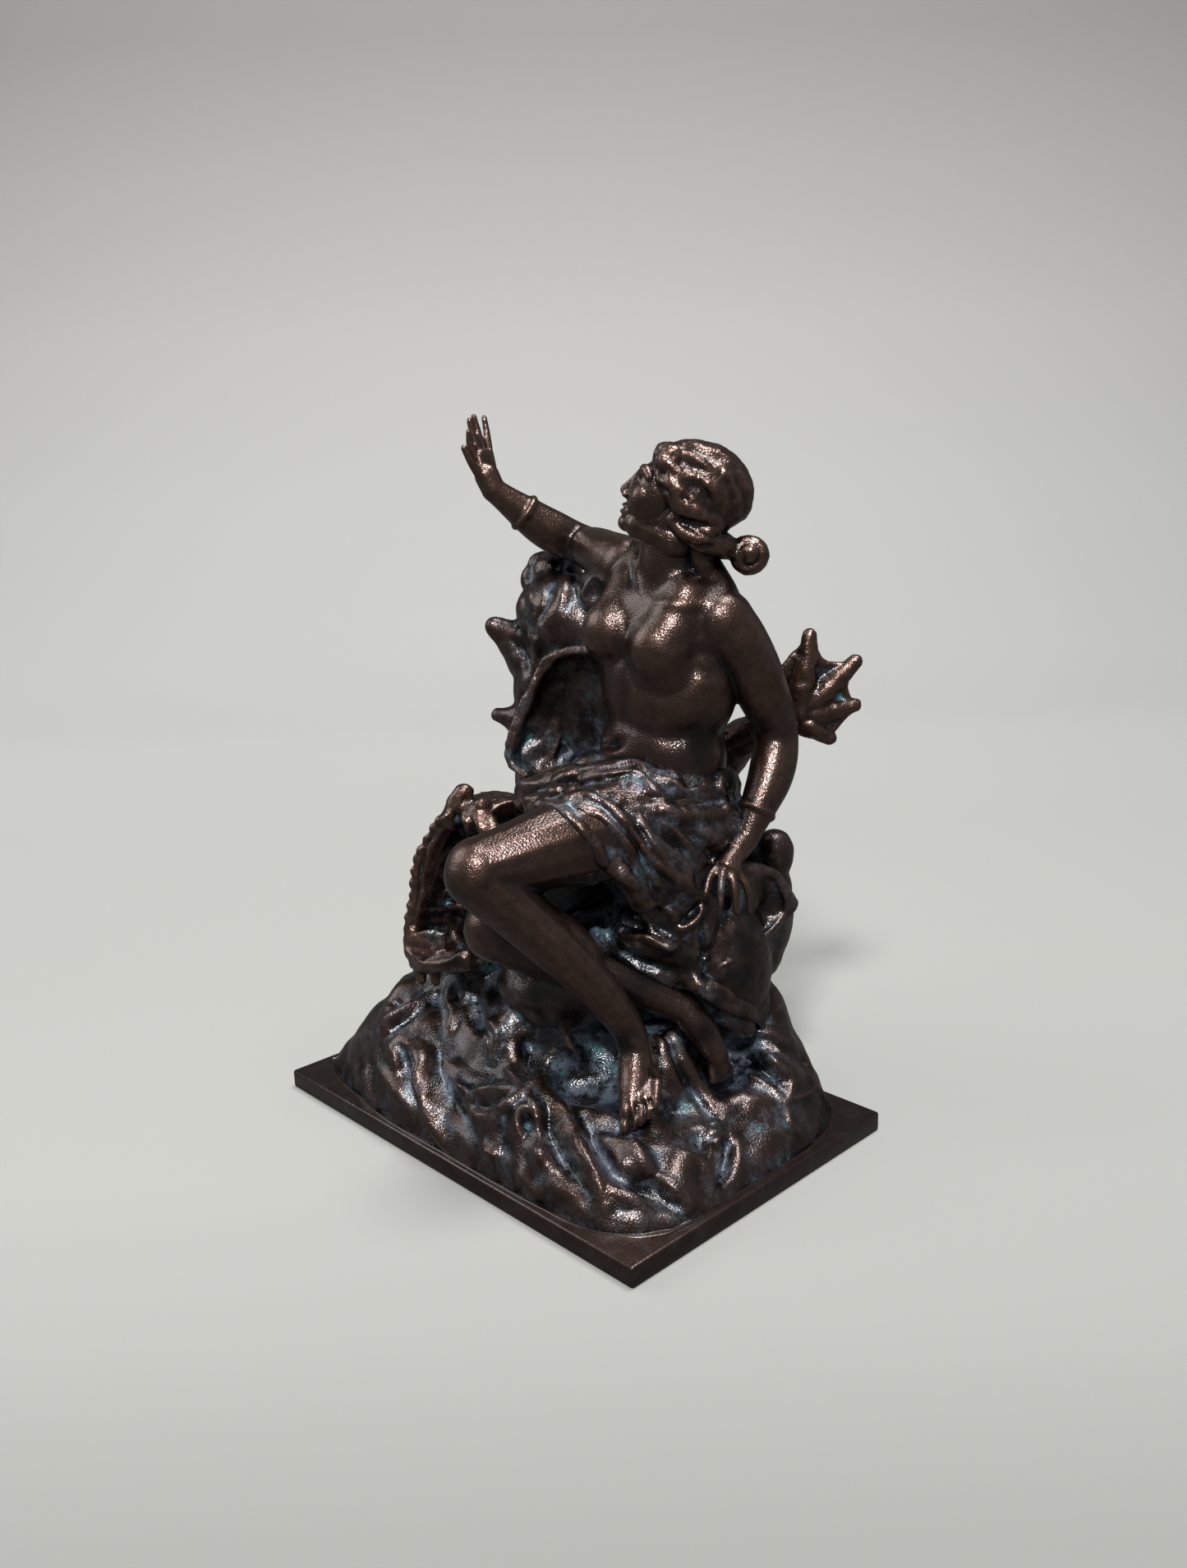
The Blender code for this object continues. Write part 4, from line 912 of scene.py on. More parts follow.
clay.strand((-41, 10.4, 181, f * 1.3), (-41.4, 7, 185.6, f * 1.1), (-42.2, 5, 190, f * 0.9))
clay.strand((46.8, 22.5, 86.5, 3.6), (46.8, 19, 84.6, 3.6))
clay.leaf((
    ((44.6, 19.6, 85), (47.2, 19.4, 86), (49.4, 19.8, 84.6)),
    ((44.8, 15.6, 83.2), (48, 15, 84), (50.2, 16.4, 82)),
    ((45.4, 12.4, 81.6), (48.4, 12, 81.8), (51, 14.4, 79.8)),
), 3)
clay.strand((45, 18, 83.6, f * 1.3), (43.2, 12, 82.6, f * 1.1), (43.2, 7.6, 80, f * 0.9))
clay.strand((46, 13, 81.8, f * 1.1), (46.4, 9, 80, f), (47.3, 5.8, 75.8, f * 0.85))
clay.strand((48, 12.4, 81.4, f * 1.1), (49.6, 9.4, 78.6, f), (50.8, 7.6, 73, f * 0.85))
clay.strand((49.6, 13.4, 80.6, f * 1.1), (51.6, 12.2, 77, f), (52.5, 12, 70.4, f * 0.85))
clay.strand((50.6, 15.4, 79.8, f), (52.8, 16, 76, f), (53.2, 16.6, 69.6, f * 0.8))
clay.ring((-36, 21.5, 171.2), (-4, -7, 6), 4.9, 1.1)
clay.ring((46.5, 27.4, 93.4), (0, -6, -8), 4.5, 1.1)
hands = fused(clay, 0.4, 2)


def joined(name, *skins):
    """Several skins as one, still overlapping."""
    whole = bmesh.new()
    for skin in skins:
        whole.from_mesh(skin)
    together = bpy.data.meshes.new(name)
    whole.to_mesh(together)
    whole.free()
    return together


skin_paint = patinated("rubbed skin paint", wash=0.05, rub=0.8, teal=0.2)
body = shaped("figure", joined("figure", torso, arms, hands), [
    ("REMESH", {"mode": "VOXEL", "voxel_size": 0.45 * MM}),
    ("SMOOTH", {"factor": 0.5, "iterations": 3}),
])
cast("figure", body, skin_paint)


# Her legs come bare from under the drapery, the left one over the right, and both feet rest on ledges
# of the rock. They are polished like the rest of the skin, with five toes each.
THIGH_RADIUS = 13.0
KNEE_RADIUS = 8.8
ANKLE_RADIUS = 4.4
r = KNEE_RADIUS
clay = Clay("legs")
clay.strand(
    (28, 14, 92, THIGH_RADIUS + 2), (23, -8, 90.5, THIGH_RADIUS), (17.5, -28, 88.5, 10.2),
    (12.5, -40.5, 86, r),
)
clay.strand(
    (12.6, -41.2, 85, r - 0.2), (18.4, -35.4, 76.5, 7.7), (27, -26, 63.4, 6.8), (33.8, -17, 49, 5.3),
    (37.4, -12, 37.5, ANKLE_RADIUS), (40, -13.8, 31.4, 4.7), (43.2, -18, 27, 4.2), (45.4, -21.4, 24, 3),
)
clay.lump((27.4, -23.6, 66), (5, 5, 12), (31, -27, 0))
clay.strand((8, 20, 86, THIGH_RADIUS + 1), (7, -8, 77, 12), (6, -30, 66, r))
clay.strand(
    (6, -31, 66, 8.5), (16, -17.5, 57, 7.8), (30, -3.6, 48.6, 6),
    (39.4, 5.2, 42.2, ANKLE_RADIUS + 0.4),
)
clay.lump((36.5, -7.5, 30), (4.2, 4.6, 4.8))
clay.strand((38.6, -8.4, 30, 3.8), (43.4, -13.6, 28.2, 3.8), (47.4, -17.6, 26.4, 2.8))
TOES = (
    (46.2, -24.4, 20, 1.7), (47.8, -23, 21.4, 1.3), (49.2, -21.6, 22.6, 1.25), (50.2, -20, 24, 1.2),
    (51, -18.2, 26, 1.1),
)
for x, y, z, size in TOES:
    clay.strand(
        (x - 3.6, y + 4.4, z + 3.4, size + 0.6), (x - 1.4, y + 1.8, z + 2.2, size + 0.1),
        (x - 0.3, y + 0.4, z + 1.2, size), (x, y, z, size * 0.95),
    )
clay.strand((39.4, 5.2, 42.2, 4.8), (43.4, 7.4, 36.6, 4.8), (46.4, 9, 30.6, 4), (47.6, 10.4, 26, 3.2))
clay.lump((38, 12, 38), (3.8, 4.4, 4.2))
for toe in range(5):
    clay.strand((47, 13 - 1.3 * toe, 28, 1.5), (49, 13.4 - 1.7 * toe, 22.8, 1.3))
TOE_LINES = (
    (((764, 1344), (767, 1360), (768, 1378)), -0.9, 0.6),
    (((774, 1344), (776, 1358), (777, 1372)), -0.7, 0.5),
    (((783, 1340), (785, 1352), (786, 1364)), -0.7, 0.5),
    (((790, 1336), (793, 1346), (795, 1354)), -0.7, 0.5),
    (((790, 1304), (797, 1307), (803, 1312)), -0.9, 0.9),
    (((768, 1266), (774, 1272), (778, 1280)), 0.5, 1.4),
)
cast("legs", worked(fused(clay, 0.45, 9), TOE_LINES), skin_paint)


# Her head is lifted and turned to her right. The face is a plain classical one, calm, with closed lips.
# Its brows, lids, nose and lips are lumps and strands, sharpened with strokes in the head's own frame.
HEAD_PLACE = (25.0, 21.0, 176.5)
HEAD_TURN = -58.0
HEAD_LIFT = -26.0
head_frame = Matrix.Translation(place(HEAD_PLACE)) @ turned((0, 0, HEAD_TURN))
head_frame @= turned((HEAD_LIFT, 0, 0))
clay = Clay("head", head_frame)
clay.lump((0, 3, 3.4), (9.8, 12.2, 10))
clay.lump((0, -3.2, -2.8), (8.6, 8.6, 10.8))
for side in (-1, 1):
    clay.strand(
        (side * 4.8, 3, -5.4, 3.4), (side * 3.8, -2.4, -8.6, 3.6), (side * 2, -6.2, -11, 3.4),
    )
    clay.strand((side * 2.5, -5, -11, 4), (side * 3, 0, -10.6, 5), (side * 3, 5, -11, 6))
    clay.lump((side * 4.8, -6.6, -4), (3.6, 3.6, 4.2))
    clay.strand((side * 6.8, -6.8, 1.4, 1.2), (side * 4, -9.4, 2.5, 1.4), (side * 1.3, -10.2, 1.6, 1.2))
    clay.lump((side * 3.7, -8.2, -0.6), (2.1, 1.9, 1.6))
    clay.lump((side * 1.45, -11.7, -5.7), (1.15, 1.4, 0.95))
clay.strand((0, -10.2, 2.2, 1.2), (0, -11.7, -2, 1.2), (0, -12.8, -4.8, 1.4))
clay.lump((0, -8.6, -9), (4.2, 2.6, 3.6))
clay.lump((0, -10.9, -8.4), (2.7, 1.1, 0.75))
clay.lump((0, -10.8, -9.9), (2.2, 1.15, 0.85))
clay.lump((0, -8.8, -12.4), (2.9, 2.5, 2.3))
face = fused(clay, 0.3, 5)
FACE_LINES = [(((-2.4, -11.4, -9.1), (0, -12, -9.2), (2.4, -11.4, -9.1)), -0.55, 0.45)]
for side in (-1, 1):
    FACE_LINES += [
        (((side * 1.8, -10, -0.4), (side * 3.7, -10.4, 0.7), (side * 5.8, -9, -0.2)), -0.45, 0.4),
        (((side * 1.8, -10, -0.9), (side * 3.7, -10, -2.1), (side * 5.6, -9, -1)), -0.35, 0.4),
        (((side * 2, -10, -0.6), (side * 3.7, -10.4, 0), (side * 5.6, -9, -0.5)), 0.3, 0.35),
        (((side * 1.9, -12.6, -4.6), (side * 2.6, -11.6, -5.6), (side * 2.2, -11, -6.6)), -0.35, 0.4),
    ]


def headed(strokes):
    """Strokes with their knots in space led from the head's frame to the sculpture's."""
    led = []
    for knots, height, width in strokes:
        knots = [tuple((head_frame @ place(knot)) / MM) if len(knot) == 3 else knot for knot in knots]
        led.append((knots, height, width))
    return led


cast("head", worked(face, headed(FACE_LINES)), skin_paint)


# The hair is drawn back in waves to a roll over the nape and a bun, with locks down the back. Its crests
# are rubbed bright, and its strokes are laid along the waves.
BUN_RADIUS = 5.2
clay = Clay("hair", head_frame)
clay.lump((0, 5, 4.4), (12.4, 14.4, 11.2))
HAIR_LINES = [
    (((800, 572), (806, 582)), -1.2, 1.4),
    (((803, 594), (813, 602)), -1.5, 1.5),
    (((826, 603), (840, 611)), -1.2, 1.4),
    (((846, 588), (858, 600), (866, 618)), -1.3, 1.4),
    (((866, 560), (884, 580), (893, 604), (890, 628)), -1.1, 1.5),
    (((838, 546), (860, 556), (874, 572)), -0.8, 1.5),
    (((893, 575), (906, 600), (908, 625)), -0.9, 1.3),
    (((800, 556), (820, 548), (845, 552)), 0.6, 2.0),
    (((804, 628), (826, 634), (850, 640), (876, 642)), -1.6, 1.3),
    (((830, 650), (850, 656), (872, 658)), 0.9, 1.2),
    (((828, 662), (848, 666), (868, 664)), -0.8, 0.9),
]
for side in (-1, 1):
    clay.strand(
        (side * 2, -6, 7.8, 3.4), (side * 6.4, -4.4, 7.4, 4.2), (side * 9, 0, 3.6, 4.4),
        (side * 9.2, 6, -0.4, 4.2), (side * 7.6, 12, -2.4, 3.8),
    )
    clay.strand(
        (side * 8.2, 3.6, -5.4, 2.4), (side * 8, 8, -6.4, 3.1), (side * 6.2, 13.6, -6.8, 3.3),
        (side * 2, 18.4, -6.8, 3),
    )
    HAIR_LINES += [
        (((side * 3, -9, 10), (side * 7, -4, 13), (side * 8, 4, 14), (side * 6, 12, 13)), -0.7, 1.5),
        (((side * 7, -8, 7), (side * 11, -3, 9), (side * 12, 4, 9), (side * 10, 12, 8)), -0.7, 1.5),
        (((side * 9, -6, 4), (side * 13, 0, 5), (side * 13, 7, 4), (side * 10, 14, 3)), -0.6, 1.4),
        (
            ((side * 5, -9, 8.5), (side * 9, -3.5, 11), (side * 10.5, 4, 11.5), (side * 8, 13, 10)),
            0.6, 1.4,
        ),
    ]
clay.lump((0, 24, -6), BUN_RADIUS)
clay.strand((4, 12, -10, 3), (3, 16.4, -16, 2.8), (2, 20, -22, 2.4), (3, 22, -28, 1.8))
clay.strand((-3, 13, -9, 2.8), (-3.6, 17, -15, 2.4), (-4, 21, -22, 2))
HAIR_LINES += [
    (
        ((4.5, 21, -6), (3.6, 22, -2), (3.4, 26, -2.6), (4, 27.4, -6.6), (4.4, 24.6, -8.6), (5, 23, -6)),
        -1.2, 0.8,
    ),
    (((2, 15, -12), (2, 18, -17), (1, 21, -22)), -1.0, 0.8),
]
tresses = worked(fused(clay, 0.4, 8, ((5.0, 1.1), (2.2, 0.3))), headed(HAIR_LINES))
cast("hair", tresses, patinated("rubbed hair paint", wash=0.5, rub=1.0, teal=0.2))


# The drapery is wound round her hips in a twisted roll, falls in deep folds over the rock on her left,
# and stands up as a hollow of cloth behind her right side.
CLOTH_THICKNESS = 2.4
CLOTH_LINES = (
    (((710, 936), (736, 934), (758, 929), (775, 928), (786, 939), (803, 948), (822, 953), (834, 963),
      (853, 960), (864, 948), (870, 928)), 1.1, 0.9),
    (
        ((710, 950), (730, 945), (747, 943), (764, 942), (778, 945), (786, 953), (797, 963), (806, 969)),
        1.8, 1.5,
    ),
    (((699, 963), (716, 958), (736, 956), (752, 960), (769, 966), (786, 971), (800, 971)), -1.5, 1.3),
    (((694, 970), (705, 968), (719, 971), (733, 978), (747, 987), (758, 996), (769, 999)), 1.6, 1.3),
    (((671, 964), (677, 953), (688, 945), (699, 942)), 1.4, 1.2),
    (((668, 974), (682, 962), (699, 949)), -1.1, 1.0),
    (((621, 970), (629, 960), (646, 956), (663, 955)), 1.6, 1.6),
    (((629, 984), (643, 973), (657, 970)), 1.0, 1.1),
    (((601, 1008), (624, 994), (646, 984), (663, 981), (680, 984), (696, 998), (713, 1015),
      (727, 1032), (738, 1051), (750, 1068), (758, 1079)), 2.0, 1.5),
    (
        ((646, 994), (663, 991), (682, 1002), (702, 1016), (712, 1029), (722, 1051), (730, 1076)),
        -0.9, 0.9,
    ),
    (
        ((692, 980), (708, 992), (724, 1004), (741, 1019), (755, 1034), (769, 1053), (780, 1068)),
        -1.6, 1.3,
    ),
    (((722, 984), (738, 998), (752, 1013), (766, 1030), (780, 1046)), 1.2, 1.2),
    (((741, 981), (758, 998), (775, 1018), (786, 1032), (800, 1048), (817, 1062), (834, 1075),
      (853, 1088), (870, 1096)), 2.0, 1.4),
    (((758, 992), (780, 1018), (794, 1040), (811, 1057)), -1.3, 1.0),
    (((780, 998), (792, 1020), (806, 1040), (822, 1060)), 1.2, 1.0),
    (((797, 1006), (811, 1016), (825, 1029), (838, 1039)), -1.4, 1.3),
    (((806, 1002), (820, 1011), (834, 1025), (843, 1037)), 1.2, 1.0),
    (((842, 1012), (856, 1012), (870, 1020), (878, 1034)), 0.9, 1.6),
    (((803, 981), (822, 990), (842, 992), (870, 990)), 1.4, 2.0),
    (((814, 973), (836, 976), (859, 977), (881, 974)), -1.1, 1.3),
    (((873, 931), (878, 950), (881, 973), (884, 992)), 1.2, 1.2),
    (((892, 934), (892, 956), (890, 978)), -1.2, 1.2),
    (((747, 1057), (761, 1068), (772, 1079)), 1.4, 1.8),
    (((736, 1079), (747, 1068), (755, 1060)), -0.9, 1.2),
    (((780, 1057), (797, 1071), (811, 1079)), 1.0, 1.6),
    (((769, 1134), (786, 1139), (803, 1147), (817, 1152), (828, 1148)), 2.0, 1.6),
    (((783, 1118), (792, 1130), (803, 1138), (814, 1141)), 1.2, 1.1),
    (((797, 1100), (811, 1104), (821, 1113), (824, 1124)), 1.8, 1.6),
    (((825, 1124), (836, 1116), (848, 1106), (853, 1095)), -1.6, 1.2),
    (((834, 1074), (843, 1090), (852, 1103), (848, 1117), (834, 1128), (821, 1134)), 1.6, 1.2),
    (((876, 1102), (878, 1124), (871, 1152), (867, 1180)), 1.4, 1.2),
    (((859, 1113), (856, 1138), (859, 1163), (862, 1186)), -1.4, 1.3),
    (((915, 1060), (926, 1051), (940, 1065), (954, 1085), (956, 1107), (943, 1127), (923, 1144),
      (901, 1153), (892, 1160)), 1.0, 0.9),
    (((904, 1079), (906, 1107), (901, 1135), (887, 1155)), -1.6, 2.2),
    (((727, 1139), (741, 1155), (758, 1169), (780, 1180), (803, 1191), (825, 1200), (842, 1202),
      (859, 1211), (873, 1222)), 1.3, 1.0),
    (
        ((755, 1176), (772, 1191), (792, 1202), (814, 1214), (828, 1225), (836, 1236), (842, 1247)),
        2.4, 1.9,
    ),
    (((758, 1170), (786, 1188), (814, 1202), (842, 1214), (864, 1230)), -1.6, 1.2),
    (((747, 1152), (775, 1169), (803, 1180), (836, 1188)), -1.0, 1.6),
    (
        ((870, 1197), (884, 1204), (895, 1216), (915, 1225), (937, 1231), (962, 1239), (979, 1250)),
        1.6, 1.3,
    ),
    (((898, 1158), (912, 1176), (929, 1194), (951, 1214)), 1.4, 1.3),
    (((887, 1180), (904, 1197), (926, 1214), (948, 1225)), -1.3, 1.2),
    (((857, 1186), (868, 1160), (880, 1132), (896, 1104)), -3.0, 2.0),
    (((934, 1140), (916, 1154), (890, 1168), (870, 1182)), 1.8, 1.2),
    (((850, 1196), (880, 1220), (912, 1238), (944, 1250)), 2.4, 2.0),
    (((862, 1176), (886, 1194), (914, 1206), (938, 1212)), -2.6, 2.4),
    (((846, 1216), (872, 1240), (900, 1256), (926, 1266)), -2.4, 2.2),
    (((904, 1152), (924, 1166), (938, 1182)), 1.8, 1.4),
    (((740, 1120), (770, 1128), (806, 1140), (840, 1150)), -2.0, 2.4),
)
HOOD_LINES = (
    (
        ((689, 783), (673, 796), (653, 822), (636, 846), (623, 872), (615, 902), (616, 929), (633, 933)),
        0.9, 0.9,
    ),
    (((706, 799), (696, 839), (683, 872), (669, 905)), 1.0, 1.8),
    (((649, 892), (639, 905), (626, 925)), -1.2, 1.6),
    (((686, 885), (679, 905), (673, 922)), 0.8, 0.9),
)
clay = Clay("drapery")
clay.lump((18, 18, 88.5), (28.5, 23, 17.5))
clay.lump((28, 8, 83), (16.6, 17.6, 15.6))
clay.strand((28, 14, 92, 16), (23.5, -6, 90.5, 13.8), (21, -13.5, 90, 12.6))
clay.strand((8, 16, 86, 16), (7, 4, 82, 13.6))
clay.lump((27, 12, 62), (18.5, 16.5, 23))
clay.lump((36, 16, 48), (13.5, 11.5, 13.5))
clay.strand(
    (-9, -5, 94, 4.4), (-2, -7, 97.5, 4.8), (7, -6.6, 101, 4.8), (16.5, -3, 103.2, 4.8),
    (25, 3.4, 103.8, 4.8), (32, 9.6, 99.4, 4.8), (36.4, 17, 98.4, 4.8), (37, 23, 99.6, 4.8),
    (33.6, 30, 98, 4.6), (23, 35, 97, 4.6), (5, 34.4, 96, 4.6), (-6, 23, 95, 4.6), (-8.6, 8, 93.6, 4.4),
)
clay.strand((28, -6, 99, 5), (36, -3, 90, 5.5), (41, 2, 81, 4.6))
clay.strand((6, -14, 96, 4), (18, -13, 99, 5), (28, -12, 95, 5), (34, -10, 84, 4.4), (35, -5, 74, 3.4))
clay.strand((26, -3, 64, 4.4), (33, -1, 61.5, 4.6), (38, 2, 62, 4.2))
clay.strand((21, -8, 61.4, 3), (25, -4, 57.8, 3.2), (35, 1, 54, 3.2), (41.6, 8, 50, 3))
clay.leaf((
    ((22, -8, 59.5), (20, 0, 60), (20, 10, 62)),
    ((33, -1, 53.5), (34, 5, 57), (34, 12, 60)),
    ((43.6, 8.4, 48), (44.6, 10.4, 55), (44, 14.4, 62)),
), 5)
clay.leaf((
    ((41, 16, 60), (45, 25, 52), (45, 34, 43)),
    ((43, 12, 52), (47.4, 20, 45), (48, 30, 37)),
    ((43.6, 11, 45), (48, 18, 39), (49, 27, 31)),
), 4)
clay.leaf((
    ((44, 22, 80), (46, 18, 70), (45, 14.5, 60), (43, 11.5, 50)),
    ((47.6, 27.6, 79), (47, 26, 70), (44.6, 22, 60), (43, 14, 51)),
    ((50, 34, 75), (46, 33, 68), (43, 27, 60), (43.6, 18, 53)),
    ((51, 39, 66), (50.6, 38, 62.4), (48.6, 31, 57), (46, 20, 53.6)),
), CLOTH_THICKNESS)
clay.leaf((
    ((2, 12, 134.5), (-6, 15.4, 134), (-14.6, 12.4, 132), (-19.6, 8.6, 124), (-24, 4.2, 112.2),
     (-25, 2, 101.6), (-17.5, 2, 98)),
    ((2, 20, 132), (-6, 22, 131), (-17, 18.5, 129), (-22, 14.5, 120), (-26, 10.5, 110),
     (-25, 8, 99), (-17, 8, 93)),
    ((0, 26, 124), (-4, 28, 122), (-9, 29, 118), (-14, 27, 112), (-17, 24, 105), (-17, 18, 96),
     (-10, 12, 91)),
), CLOTH_THICKNESS)
clay.lump((-3, 17, 96), (9, 9, 9))
drape = worked(fused(clay, 0.55, 6, ((9, 1.6), (3.6, 0.8))), CLOTH_LINES + HOOD_LINES)
drape = shaped("drapery", drape, [("SMOOTH", {"factor": 0.5, "iterations": 1})])
cast("drapery", drape, patinated("washed cloth paint", wash=1.1, rub=1.1, teal=0.2, film=0.3))


# The plate is a plain slab with its edges a little rounded, cast with the rock on it. A low step runs
# round the rock's foot.
PLATE_THICKNESS = 5.6
PLATE_ROUND = 0.8
STEP_REACH = 1.015
STEP_LIMIT = 0.965
STEP_SINK = 0.25
STEP_RADIUS = 0.6
slab = bmesh.new()
size = Matrix.Diagonal((*place((PLATE_LENGTH, PLATE_WIDTH, PLATE_THICKNESS)), 1))
bmesh.ops.create_cube(slab, size=1, matrix=size)
bmesh.ops.translate(slab, verts=slab.verts, vec=place((0, 0, PLATE_THICKNESS / 2)))
slab_mesh = bpy.data.meshes.new("plate")
slab.to_mesh(slab_mesh)
slab.free()
slab_mesh = shaped("plate", slab_mesh, [("BEVEL", {"width": PLATE_ROUND * MM, "segments": 3})])
clay = Clay("step")
edge = [
    (min(max(x * STEP_REACH, -STEP_LIMIT), STEP_LIMIT) * PLATE_LENGTH / 2,
     min(max(y * STEP_REACH, -STEP_LIMIT), STEP_LIMIT) * PLATE_WIDTH / 2,
     PLATE_THICKNESS - STEP_SINK, STEP_RADIUS)
    for x, y in ROCK_FOOT
]
clay.strand(*edge, edge[0])
slab_mesh = joined("plate", slab_mesh, clay.heap())
cast("plate", slab_mesh, patinated("plain plate paint", wash=0.3, rub=0.3, film=0.3, grain=0.35))


# The wash settles in the hollows and the rub takes what stands proud, and the hollows, with the places
# hemmed in by solid, are darkened as painted shade. All are worked out for every corner of the forms:
# from the share of solid round it, near by and further off, and from how far it lies below its
# neighbours. Two lists of places give the teal pools and the places of painted shade.
CELL_MM = 1.0
NEAR_CELLS = 2
FAR_CELLS = 5
WIDE_CELLS = 11
NEAR_OUT = 0.8
FAR_OUT = 2.0
WIDE_OUT = 6.0
BOX_MARGIN = 12
EASING_ROUNDS = 14
low = np.array(cad_box[0]) / MM - BOX_MARGIN
cells = np.ceil((np.array(cad_box[1]) / MM + BOX_MARGIN - low) / CELL_MM).astype(int)
solid = np.zeros(cells, dtype=np.float32)
trees = []
for piece in PIECES:
    body = bmesh.new()
    body.from_mesh(piece.data)
    tree = BVHTree.FromBMesh(body)
    body.free()
    trees.append(tree)
    box = np.array([corner.co for corner in piece.data.vertices]) / MM
    first = np.maximum(((box.min(0) - low) / CELL_MM).astype(int), 0)
    last = np.minimum(((box.max(0) - low) / CELL_MM).astype(int) + 1, cells - 1)
    for i in range(first[0], last[0] + 1):
        for j in range(first[1], last[1] + 1):
            x, y = low[:2] + (np.array((i, j)) + 0.5) * CELL_MM
            spot = Vector((x, y, low[2])) * MM
            entry = None
            while True:
                hit, normal, _, gap = tree.ray_cast(spot, (0, 0, 1))
                if hit is None:
                    break
                level = (hit.z / MM - low[2]) / CELL_MM
                if normal.z < 0:
                    entry = level if entry is None else entry
                elif entry is not None:
                    solid[i, j, round(entry):round(level)] = 1
                    entry = None
                spot = hit + Vector((0, 0, 0.01 * MM))


def spread(field, reach):
    """The field averaged over a cube that reaches so many cells each way, three times over."""
    for axis in range(3):
        margins = [(reach + 1, reach) if a == axis else (0, 0) for a in range(3)]
        for _ in range(3):
            sums = np.cumsum(np.pad(field, margins, mode="edge"), axis=axis, dtype=np.float64)
            wide = 2 * reach + 1
            ahead = np.take(sums, range(wide, sums.shape[axis]), axis=axis)
            behind = np.take(sums, range(0, sums.shape[axis] - wide), axis=axis)
            field = ((ahead - behind) / wide).astype(np.float32)
    return field


def sampled(field, spots):
    """The field at the spots, between its cells."""
    place_in = (spots - low) / CELL_MM - 0.5
    base = np.clip(np.floor(place_in).astype(int), 0, cells - 2)
    part = np.clip(place_in - base, 0, 1)
    total = np.zeros(len(spots))
    for corner in np.ndindex(2, 2, 2):
        weight = np.prod(np.where(corner, part, 1 - part), axis=1)
        total += weight * field[tuple((base + corner).T)]
    return total


# Where the wash pooled and dried teal: places in the picture and how far it spread in millimetres
POOLS = (
    ((628, 918), 5.0), ((642, 906), 4.0), ((668, 900), 3.0), ((583, 1176), 2.2), ((525, 1110), 3.0),
    ((530, 1136), 3.0), ((601, 1290), 2.2), ((620, 1244), 1.8), ((596, 1314), 2.4), ((624, 1324), 1.8),
    ((572, 1330), 2.2), ((644, 1372), 2.0), ((856, 1212), 2.6), ((724, 1280), 3.2), ((742, 1306), 3.0),
    ((838, 1346), 2.4), ((824, 1268), 2.4), ((940, 1284), 2.4), ((930, 1312), 2.6), ((872, 1374), 2.0),
    ((881, 1079), 2.6), ((853, 1134), 2.6), ((700, 990), 2.0), ((842, 948), 2.2),
)
# Painted shade: places in the picture, and their reach, where the paint is made nearly black for the
# shade that falls under the legs and cloth, in the hood and in other deep places
PAINTED_SHADE_SPOTS = (
    ((735, 1108), 6.0), ((770, 1120), 6.0), ((808, 1132), 5.0), ((787, 1182), 6.0), ((826, 1176), 5.0),
    ((925, 1120), 6.0), ((908, 1150), 6.0), ((904, 1190), 6.0), ((870, 1222), 5.0), ((900, 1240), 5.0),
    ((654, 1208), 6.0), ((695, 1236), 8.0), ((669, 1262), 5.0), ((716, 1284), 4.0), ((760, 1270), 4.0),
    ((548, 1090), 6.0), ((551, 1167), 5.0), ((675, 850), 9.0), ((690, 820), 6.0), ((858, 1256), 4.0),
    ((886, 950), 5.0), ((712, 712), 6.0), ((656, 787), 5.0), ((848, 906), 6.0), ((575, 1240), 4.0),
    ((872, 1330), 4.0), ((930, 1080), 5.0),
)
spotted = {"pool": [], "shade": []}
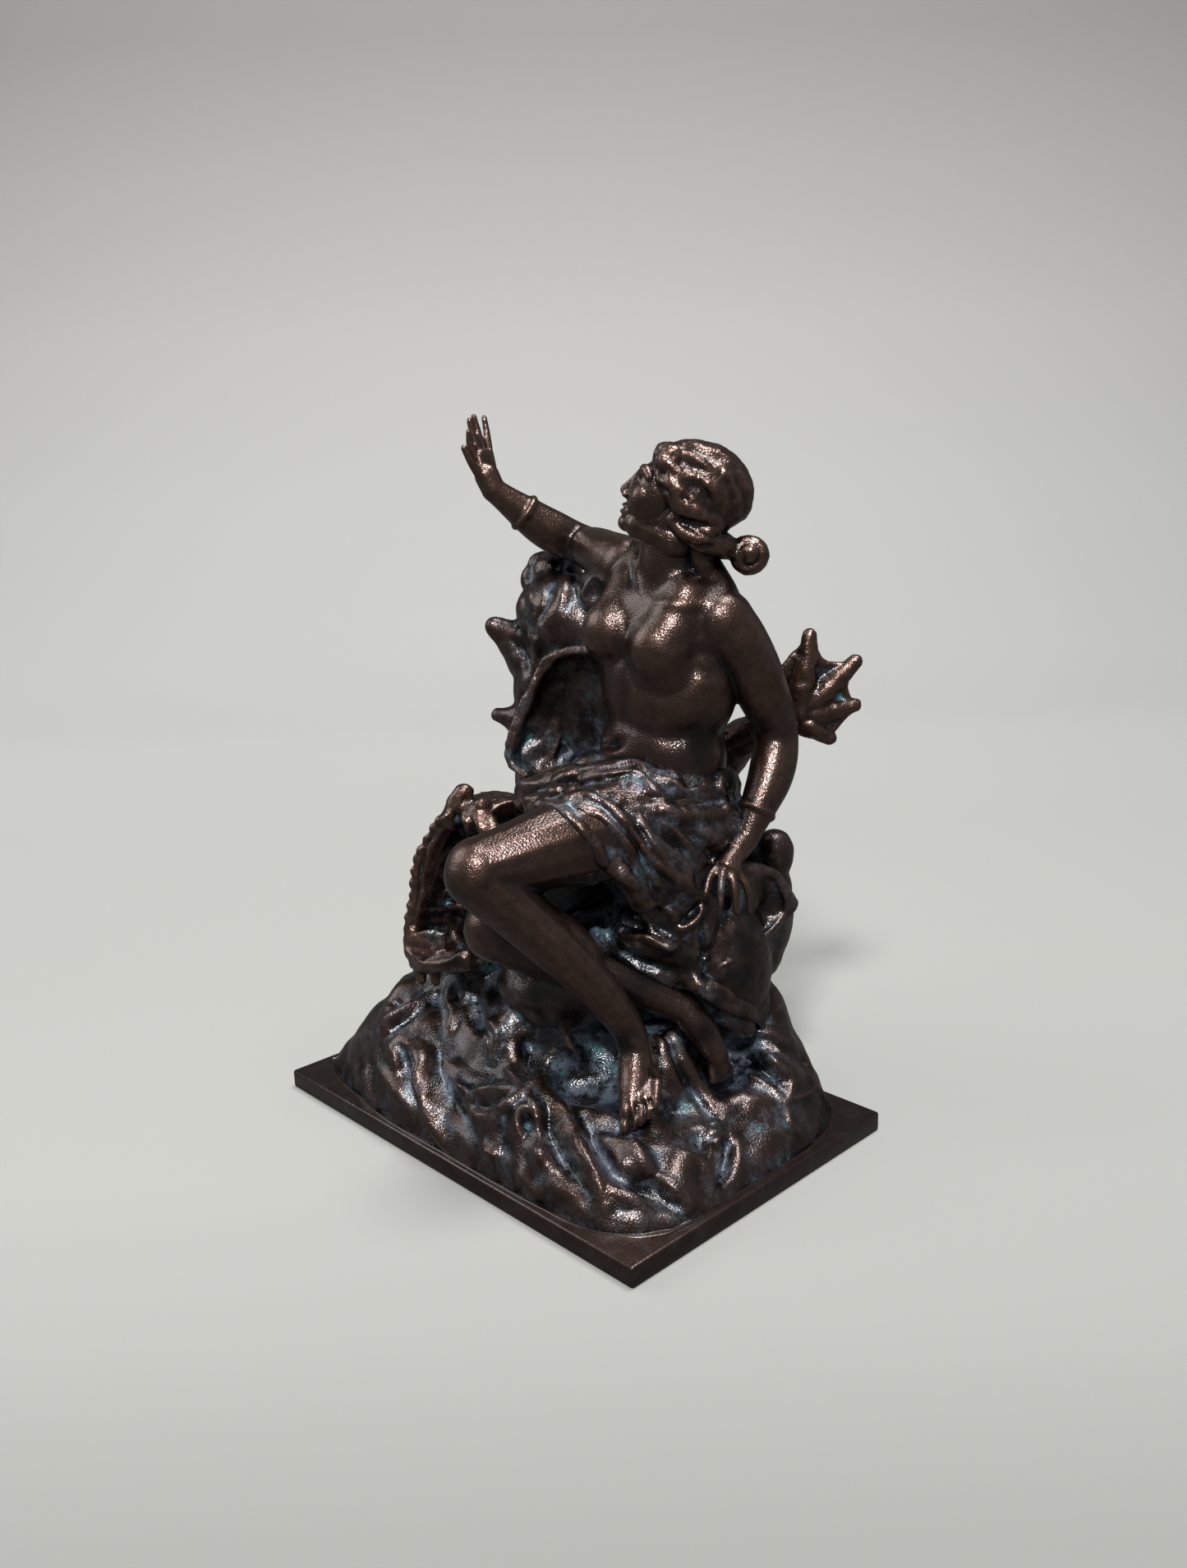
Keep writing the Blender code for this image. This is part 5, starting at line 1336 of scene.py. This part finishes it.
for name, spots in (("pool", POOLS), ("shade", PAINTED_SHADE_SPOTS)):
    for (x, y), reach in spots:
        ray = Vector((x - FRAME_SIZE[0] / 2, FRAME_SIZE[1] / 2 - y, -FOCAL_PIXELS)).normalized()
        hits = [tree.ray_cast(CAMERA_PLACE, camera_turn.to_3x3() @ ray) for tree in trees]
        hits = [hit for hit in hits if hit[0]]
        if hits:
            nearest = min(hits, key=lambda hit: hit[3])
            spotted[name].append((np.array(nearest[0]) / MM, reach))
near_field = spread(solid, NEAR_CELLS - 1)
far_field = spread(solid, FAR_CELLS - 1)
wide_field = spread(solid, WIDE_CELLS - 1)
for piece in PIECES:
    skin = piece.data
    count = len(skin.vertices)
    spots = np.empty(count * 3, dtype=np.float32)
    aways = np.empty_like(spots)
    skin.vertices.foreach_get("co", spots)
    skin.vertices.foreach_get("normal", aways)
    spots = spots.reshape(-1, 3) / MM
    aways = aways.reshape(-1, 3)
    ends = np.empty(len(skin.edges) * 2, dtype=np.int32)
    skin.edges.foreach_get("vertices", ends)
    a, b = ends.reshape(-1, 2).T
    degree = np.bincount(a, minlength=count) + np.bincount(b, minlength=count)
    eased = spots.copy()
    for _ in range(EASING_ROUNDS):
        sums = np.zeros_like(eased)
        for axis in range(3):
            sums[:, axis] = np.bincount(a, eased[b, axis], count) + np.bincount(b, eased[a, axis], count)
        eased = eased * 0.4 + 0.6 * sums / np.maximum(degree, 1)[:, None]
    dip = np.einsum("ij,ij->i", eased - spots, aways)
    near = sampled(near_field, spots + aways * NEAR_OUT)
    far = sampled(far_field, spots + aways * FAR_OUT)
    wide = sampled(wide_field, spots + aways * WIDE_OUT)
    # painted shade: the more solid lies round a corner, near by and far off, the darker it is painted,
    # besides the wash it takes
    sunk_and_shaded = np.clip((wide - 0.40) * 4.0, 0, 0.7) + np.clip((far - 0.42) * 3.2, 0, 1)
    sunk_and_shaded += np.clip((near - 0.42) * 1.6, 0, 1) + np.clip(dip / 0.35, 0, 1) * 0.5
    raised = np.clip((0.42 - far) * 3.0, 0, 1) * 0.7 + np.clip((0.36 - near) * 2.5, 0, 1) * 0.5
    raised += np.clip(-dip / 0.3, 0, 1) * 0.6
    values = {"hollow_and_shade": np.clip(sunk_and_shaded, 0, 1), "proud": np.clip(raised, 0, 1)}
    for name, marks in spotted.items():
        values[name] = np.zeros(count)
        for spot, reach in marks:
            near_it = np.exp(-((spots - spot) ** 2).sum(1) / reach**2)
            values[name] = np.maximum(values[name], near_it)
    for name, value in values.items():
        attribute = skin.attributes.new(name, "FLOAT", "POINT")
        attribute.data.foreach_set("value", value.astype(np.float32))
